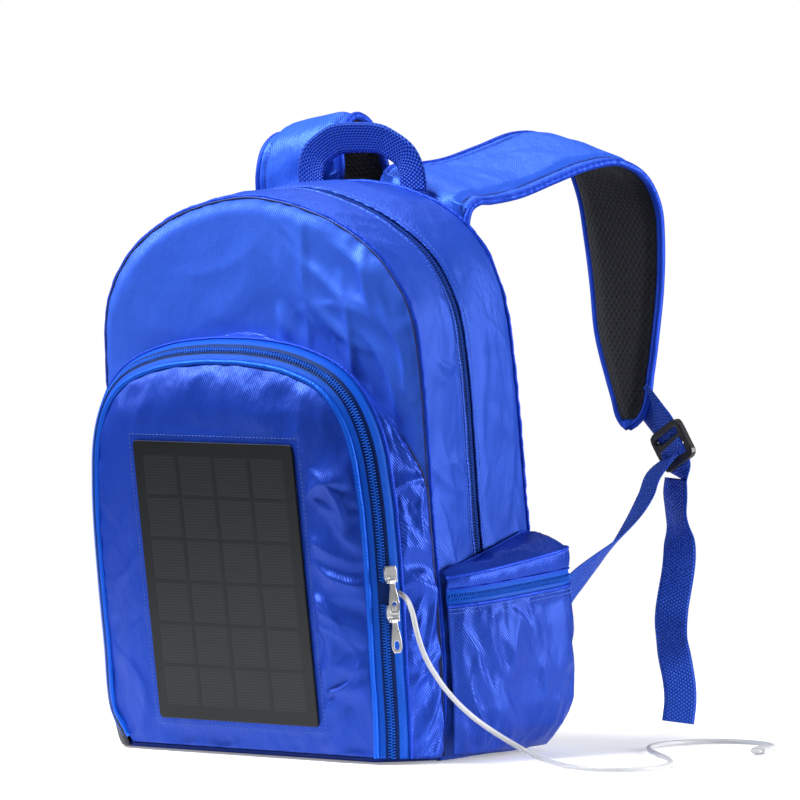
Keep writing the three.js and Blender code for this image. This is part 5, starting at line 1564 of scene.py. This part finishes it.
def strap(side):
    k = 1 if side == "right" else -1
    key = np.array(ROOTS[side] + (STRAPS[side][1:] if side == "right" else STRAPS[side]), float)
    fine = catmull(key, np.linspace(0, len(key) - 1, (len(key) - 1) * 20 + 1))
    s = np.concatenate([[0], np.cumsum(np.linalg.norm(np.diff(fine[:, :3], axis=0), axis=1))])
    n = int(s[-1] / 3.0)
    u = np.linspace(0, s[-1], n)
    f = np.stack([np.interp(u, s, fine[:, j]) for j in range(7)], 1)
    p, hw, W = f[:, :3], f[:, 3], unit(f[:, 4:])
    T = unit(np.gradient(p, axis=0))
    Nn = unit(np.cross(T, W)) * -k  # towards the outer, blue face
    body = "strap_" + side
    end = np.clip(np.minimum(u / 20, (u[-1] - u) / 20), 0, 1)
    # the lower end narrows to a rounded point
    tip_ = np.clip((u[-1] - u) / 14.0, 0, 1)
    hw = np.maximum(hw + 3.0 * np.clip(1 - (u[-1] - u) / 40, 0, 1), 7.5) * np.sqrt(np.maximum(0.02, 1 - (1 - tip_) ** 2))
    h = 5.2 * lerp(0.6, 1, end)
    xs = np.concatenate([np.linspace(-1, -0.80, 6), np.linspace(-0.78, 0.78, 22), np.linspace(0.80, 1, 6)])
    # outer face
    P = np.zeros((n, len(xs), 3))
    for j, x in enumerate(xs):
        ax = abs(x)
        inner = np.clip((1 - ax) * hw / 11.0, 0, 1)  # 0 in the binding, 1 inside the sewn channel
        crown = h * (0.34 + 0.66 * smooth((1 - ax) * hw / 15.0)) + 0.8 * (1 - x * x)
        chan = 2.6 * np.exp(-(((1 - ax) * hw - 7.6) / 1.5) ** 2)
        roll = -1.0 * np.clip(1 - (1 - ax) * hw / 2.0, 0, 1) ** 2 * 2.0
        wr = (draped(u, x * hw, (0, u[-1], -36, 36), 301 + k, 16, lambda a, b: 70, 30, (18, 50), (6, 13), (0.6, 2.0), 1.3) - 0.4 + noise2(u / 34, 0 * u + x * 1.3, 303 + k) * 0.8) * smooth((1 - ax) * hw / 14)
        pk = 0.22 * np.sin(u / 2.6 + 3 * noise2(u / 12, 0 * u, 305)) * np.exp(-(((1 - ax) * hw - 8.2) / 5) ** 2)
        hh_ = crown - chan + roll + wr + pk
        P[:, j] = p + W * (x * hw)[:, None] + Nn * hh_[:, None]
    # inner face: a little lower, closes the pad
    Q = np.zeros_like(P)
    for j, x in enumerate(xs):
        ax = abs(x)
        low = -h * (0.45 + 0.55 * smooth((1 - ax) * hw / 14.0)) + 0.8
        Q[:, j] = p + W * (x * hw)[:, None] + Nn * low[:, None]
    m = len(xs)
    verts = np.vstack([P.reshape(-1, 3), Q.reshape(-1, 3)])
    faces = grid_faces(n, m) + grid_faces(n, m, n * m, flip=True)
    for i in range(n - 1):
        for j, fl in ((0, False), (m - 1, True)):
            a, b = i * m + j, (i + 1) * m + j
            q = (a, a + n * m, b + n * m, b)
            faces.append(q[::-1] if fl else q)
    for j in range(m - 1):
        faces.append((j, j + 1, j + 1 + n * m, j + n * m))
        a = (n - 1) * m + j
        faces.append((a + 1, a, a + n * m, a + 1 + n * m))
    o = collect("shoulder_strap_" + side, verts, faces, M_STRAP)
    bm = bmesh.new()
    bm.from_mesh(o.data)
    bmesh.ops.recalc_face_normals(bm, faces=bm.faces)
    bm.to_mesh(o.data)
    bm.free()
    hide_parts("strap_pad_" + side)
    # the first 30 mm is sewn to the bag; the root points at the start of the path bend the pad out of it, so here the
    # mesh is only baked in place
    if side == "right":
        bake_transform(o)
    else:
        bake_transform(o)
    # binding tubes and stitch rows along both long edges; the stitch rows sit in the sewn channel in near-black navy
    # thread, painted shade of the channel
    bind, thread = Heap(), Heap()
    for sgn in (-1, 1):
        e = p + W * (sgn * (hw - 0.6))[:, None] + Nn * (h * 0.02)[:, None]
        bind.tube(e, 2.9, 12, up=None, flat=1.0)
        st = p + W * (sgn * (hw - 7.6))[:, None] + Nn * (h * (0.34 + 0.66 * smooth(np.full(n, 7.6 / 15.0))) - 2.6 + 0.75 + 0.8 * (1 - (1 - 7.6 / np.maximum(hw, 8)) ** 2))[:, None]
        i0, i1 = 6, int(n * 0.92)
        stitches(thread, st[i0:i1], Nn[i0:i1], 2.4, 1.2, 0.3, 0.45)
    for o2, nm, mt in ((bind.make("strap_binding_" + side, M_BIND), 0, 0), (thread.make("strap_stitching_" + side, M_THREAD_CHANNEL_SHADE), 0, 0)):
        if side == "right":
            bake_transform(o2)
        else:
            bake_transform(o2)
    # mesh lining on the inner face
    i0, i1 = 3, n - 2
    xs2 = np.linspace(-1, 1, 26)
    R = np.zeros((i1 - i0, len(xs2), 3))
    for j, x in enumerate(xs2):
        wv_ = np.maximum(hw[i0:i1] - 3.2, 0.8)
        low = -h[i0:i1] * (0.45 + 0.55 * smooth((1 - abs(x)) * wv_ / 10.0)) - 0.2
        R[:, j] = p[i0:i1] + W[i0:i1] * (x * wv_)[:, None] + Nn[i0:i1] * low[:, None]
    o = sheet_mesh("strap_lining_" + side, R, M_MESH, 0.9, lambda A: -np.broadcast_to(Nn[i0:i1, None], A.shape))
    uu3 = np.broadcast_to((xs2[None] * np.maximum(hw[i0:i1] - 3.2, 0.8)[:, None]), R.shape[:2]).ravel() * 0.001
    vv3 = np.broadcast_to(u[i0:i1, None], R.shape[:2]).ravel() * 0.001
    belt_uv(o, np.tile(uu3, 2), np.tile(vv3, 2))
    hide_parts("strap_mesh_" + side)
    if side == "right":
        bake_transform(o)
    else:
        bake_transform(o)

    # webbing into the ladder lock
    L = LOCK[side]
    c, dd_, Wl = np.array(L["c"], float), unit(L["d"]), unit(L["W"])
    d0 = np.array((118, 241, 243) if side == "right" else (-106, 159.6, 173.5), float)
    into = unit(c - dd_ * 17.2 - d0)
    nrm = unit(np.cross(dd_, Wl))
    pts = [d0 - into * 14, d0 - into * 6, d0, (d0 + c - dd_ * 17.2) / 2, c - dd_ * 17.2, c - dd_ * 10, c - dd_ * 5 - nrm * 2.2, c + dd_ * 1 - nrm * 3.2]
    o = ribbon("adjuster_webbing_" + side, pts[:], 25, [Wl] * len(pts), M_WEB, 1.5)
    ride(o, body, "blue_webbing", "adjuster_web_" + side)
    # ladder lock with rounded bars
    o = node_copy("ladder_lock_" + side, "ladder_lock_body_" + side, M_BLACK, 0.55, 5)
    ride(o, body, "black_plastic", "ladder_lock_" + side)
    # lower webbing to the corner tab
    lp = np.array(LOWER[side], float)
    nn = len(lp) - 1
    Ws = [np.array((k * 0.86, -0.5, 0)) * (1 - min(1, max(0, (i - 1) / (nn - 2)))) + np.array(LOWER_END[side]) * min(1, max(0, (i - 1) / (nn - 2))) for i in range(len(lp))]
    tab_in = np.array((k * 133.0, 84, lp[-1][2] + 1.5))
    pts = np.vstack([lp, [(lp[-1] + tab_in) / 2, tab_in]])
    Ws = Ws + [np.array(LOWER_END[side])] * 2
    lead_in = [c + dd_ * 6 - (0 if side == "right" else 0) * nrm]
    pts = np.vstack([lead_in, pts])
    Ws = [Wl] + Ws
    o = ribbon("lower_webbing_" + side, pts, 25, Ws, M_WEB, 1.5)
    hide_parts("lower_web_" + side)
    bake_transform(o)
    # free tail
    tt_ = np.array(TAIL_TOP[side], float)
    zs = [tt_[2], 160, 130, 95, 50, 5] if side == "right" else [tt_[2], 92, 60, 5]
    if side == "right":
        zs = [tt_[2], 178] + list(np.arange(164, 12, -12.0)) + [5]
    away = lambda q: smooth(min(1.0, (tt_[2] - q) / 40.0))
    turn = lambda q: lerp(-0.3, 0.6, min(1, (tt_[2] - q) / 110)) + away(q) * (0.26 * math.sin(q / 15.0) + 0.12 * math.sin(q / 7.0 + 1))
    pts = [(tt_[0] + away(q) * 2.2 * math.sin(q / 17.0 + 0.6), tt_[1] + away(q) * 4.0 * math.sin(q / 19.0), q) for q in zs]
    Ws = [(math.cos(turn(q)), k * math.sin(turn(q)), 0) for q in zs]
    o = ribbon("strap_tail_" + side, pts, 25, Ws, M_WEB, 1.5)
    ride(o, "tail_" + side, "blue_webbing", "tail_web_" + side)
    # loop of the tail through the lock
    top = c + dd_ * 7 + nrm * 2.6
    pts = [c - dd_ * 1 + nrm * 3.0, top, (top + tt_) / 2 + np.array([0, 1.5, 0]), tt_ + np.array([0, 0, 2.5])]
    o = ribbon("tail_loop_" + side, pts, 25, [Wl, Wl, unit(Wl + np.array(Ws[0])), np.array(Ws[0])], M_WEB, 1.5)
    ride(o, body, "blue_webbing")
    # corner tab: two layers with stitched border
    tb = np.array([(0, -22), (30, -8), (30, 14), (0, 26)], float)
    dens_ = []
    for i in range(4):
        a, b = tb[i], tb[(i + 1) % 4]
        kk_ = max(1, int(np.linalg.norm(b - a) / 3))
        dens_ += [a + (b - a) * j / kk_ for j in range(kk_)]
    tb = np.array(dens_)
    cen_ = tb.mean(0)
    verts_, faces_ = [], []
    prof_ = [(0.04, 0.0), (0.5, 0.0), (0.9, 0.0), (0.985, 0.35), (1.0, 1.2), (0.985, 2.05), (0.9, 2.4), (0.5, 2.4), (0.04, 2.4)]
    nt_ = len(tb)
    for sc2, dx in prof_:
        for a, b in tb:
            ya, za = cen_[0] + (a - cen_[0]) * sc2, cen_[1] + (b - cen_[1]) * sc2
            pz = 104 + za
            verts_.append((k * 133.2 - 1.2 + dx, Y_BACK + 6.5 + ya - LEAN * pz, pz))
    for r in range(len(prof_) - 1):
        for i in range(nt_):
            j = (i + 1) % nt_
            faces_.append((r * nt_ + i, r * nt_ + j, (r + 1) * nt_ + j, (r + 1) * nt_ + i))
    faces_.append(tuple(range(nt_))[::-1])
    faces_.append(tuple((len(prof_) - 1) * nt_ + i for i in range(nt_)))
    o = collect("corner_tab_cloth_" + side, verts_, faces_, M_SIDE)
    bm = bmesh.new()
    bm.from_mesh(o.data)
    bmesh.ops.recalc_face_normals(bm, faces=bm.faces)
    bm.to_mesh(o.data)
    bm.free()
    ride(o, "root", "blue_nylon", "corner_tab_" + side)
    th = Heap()
    for dx in (-0.05, 2.45):
        loop_ = np.array([(k * 133.2 - 1.2 + dx, Y_BACK + 6.5 + cen_[0] + (a - cen_[0]) * 0.84 - LEAN * (104 + cen_[1] + (b - cen_[1]) * 0.84), 104 + cen_[1] + (b - cen_[1]) * 0.84) for a, b in np.vstack([tb, tb[:1]])])
        stitches(th, loop_, (1 if dx > 1 else -1, 0, 0), 2.2, 1.1, 0.26, 0.2)
    o = th.make("corner_tab_stitching_" + side, M_THREAD)
    ride(o, "root", "blue_nylon")
    # sewn root of the strap
    r0 = (57, 29.2) if side == "right" else (-56, 28.2)
    pts = [(r0[0], r0[1], q) for q in (392, 398, 404, 410)]
    o = ribbon("strap_root_cloth_" + side, pts, 76, [(k * 0.946, 0, -0.325)] * 4, M_STRAP, 2.2, raw=True, ridge=0.0)
    ride(o, "root", "blue_nylon", "strap_root_" + side)


strap("right")
strap("left")

# ------------------------------------------------------------------ grab handle
c, half = 9, 46
hl = [(-half, 415, 1, 0), (-half + 1, 424, 0.97, -0.25), (-half + 6, 434, 0.8, -0.6), (-half + 18, 442, 0.42, -0.9), (-18, 446, 0.1, -1), (0, 447, 0, -1),
      (18, 446, -0.1, -1), (half - 18, 442, -0.42, -0.9), (half - 6, 434, -0.8, -0.6), (half - 1, 424, -0.97, -0.25), (half, 415, -1, 0)]
hl = [(-half, 408, 1, 0)] + hl + [(half, 408, -1, 0)]
pts = [(c + x, 18.5 - (z - 415) * 0.14, z) for x, z, a, b in hl]
Ws = [(a, 0.28 * (-b if b < 0 else 0), b) for x, z, a, b in hl]
o = ribbon("grab_handle_webbing", pts, 23, Ws, M_WEB, 2.0, cross=14)
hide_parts("grab_handle")
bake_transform(o)

# ------------------------------------------------------------------ sliders, pulls, hidden parts
for a in ("front_upper", "front_lower", "main_upper", "main_lower", "side_right", "side_left"):
    o = node_copy(a + "_slider", a + "_slider_body", M_METAL, 0.24, 9)
    ride(o, a + "_slider", "zinc", a + "_slider")
    o = node_copy(a + "_pull", a + "_pull_tag", M_METAL, 0.18, 9)
    ride(o, a + "_pull", "zinc", a + "_pull")
for node, mat in (("junction_box", M_BLACK), ("regulator_box", M_BLACK), ("usb_socket", M_STEEL), ("usb_plug", M_WHITE), ("solar_lead", M_RUBBER)):
    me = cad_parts[node].data
    me.materials.clear()
    me.materials.append(mat)

# ------------------------------------------------------------------ floor, lights
ring_n = 96
fv = [(0, 0, -0.6)] + [(1400 * math.cos(2 * math.pi * i / ring_n), 1400 * math.sin(2 * math.pi * i / ring_n), -0.6) for i in range(ring_n)]
floor = collect("floor", fv, [(0, 1 + i, 1 + (i + 1) % ring_n) for i in range(ring_n)], None)
fm, nt, b = new_mat("floor")
n = N(nt)
principled(b, (0.88, 0.88, 0.89), 0.9, 0, 0.05)
b.inputs["Emission Color"].default_value = (1, 1, 1, 1)
b.inputs["Emission Strength"].default_value = 0.30
fx, fy, _ = n.sep(n.coords())
fr_ = n.math("SQRT", n.math("ADD", n.math("MULTIPLY", fx, fx), n.math("MULTIPLY", fy, fy)))
fade = n.math("MULTIPLY", n.math("SUBTRACT", fr_, 0.34), 1 / 0.40, clamp=True)
fade = n.math("SMOOTH_MIN", fade, 1.0, 0.1)
clear, mixs = nt.nodes.new("ShaderNodeBsdfTransparent"), nt.nodes.new("ShaderNodeMixShader")
nt.links.new(fade, mixs.inputs[0])
nt.links.new(b.outputs[0], mixs.inputs[1])
nt.links.new(clear.outputs[0], mixs.inputs[2])
nt.links.new(mixs.outputs[0], nt.nodes["Material Output"].inputs[0])
floor.data.materials.append(fm)

# studio surroundings: white behind the object, and a soft gradient, darker low down and lighter overhead, for the light
# that falls on it
world = bpy.data.worlds.new("world")
bpy.context.scene.world = world
world.use_nodes = True
nt = world.node_tree
nt.nodes.clear()
n = N(nt)
out = n.node("ShaderNodeOutputWorld")
bg = n.node("ShaderNodeBackground")
tc = n.node("ShaderNodeTexCoord")
_, _, zz = n.sep(tc.outputs["Generated"])
up_ = n.math("MULTIPLY", zz, 1.6, clamp=True)
col = n.mix(up_, (0.045, 0.048, 0.055), (0.20, 0.206, 0.22))
lp = n.node("ShaderNodeLightPath")
col = n.mix(lp.outputs["Is Camera Ray"], col, (1.0, 1.0, 1.0))
nt.links.new(col, bg.inputs[0])
bg.inputs[1].default_value = 1.0
nt.links.new(bg.outputs[0], out.inputs[0])


def area(name, loc, target, size, power, color=(1, 1, 1), sy=None):
    l = bpy.data.lights.new(name, "AREA")
    l.shape = "RECTANGLE"
    l.size, l.size_y = size, sy or size
    l.energy = power
    l.color = color
    o = bpy.data.objects.new(name, l)
    bpy.context.scene.collection.objects.link(o)
    o.location = loc
    d = Vector(target) - Vector(loc)
    o.rotation_mode = "QUATERNION"
    o.rotation_quaternion = d.to_track_quat("-Z", "Y")
    return o


def sun(name, az, el, dist, size, power, sy=None):
    """Softbox seen from the object at azimuth az (0 front, 90 right) and elevation el."""
    a, e = math.radians(az), math.radians(el)
    return area(name, Vector((math.sin(a) * math.cos(e), -math.cos(a) * math.cos(e), math.sin(e))) * dist + Vector((0, 0, 0.22)), (0, 0, 0.22), size, power, sy=sy)


sun("key", -24, 60, 2.2, 0.7, 80)
sun("side", 116, 8, 2.2, 0.8, 56, sy=0.9)
sun("left", -62, 36, 2.2, 0.6, 34)
sun("behind", 205, 66, 2.2, 0.9, 10)
vs = bpy.context.scene.view_settings
vs.view_transform = "Standard"
vs.look = "None"
vs.exposure = 0.0
vs.gamma = 1.0
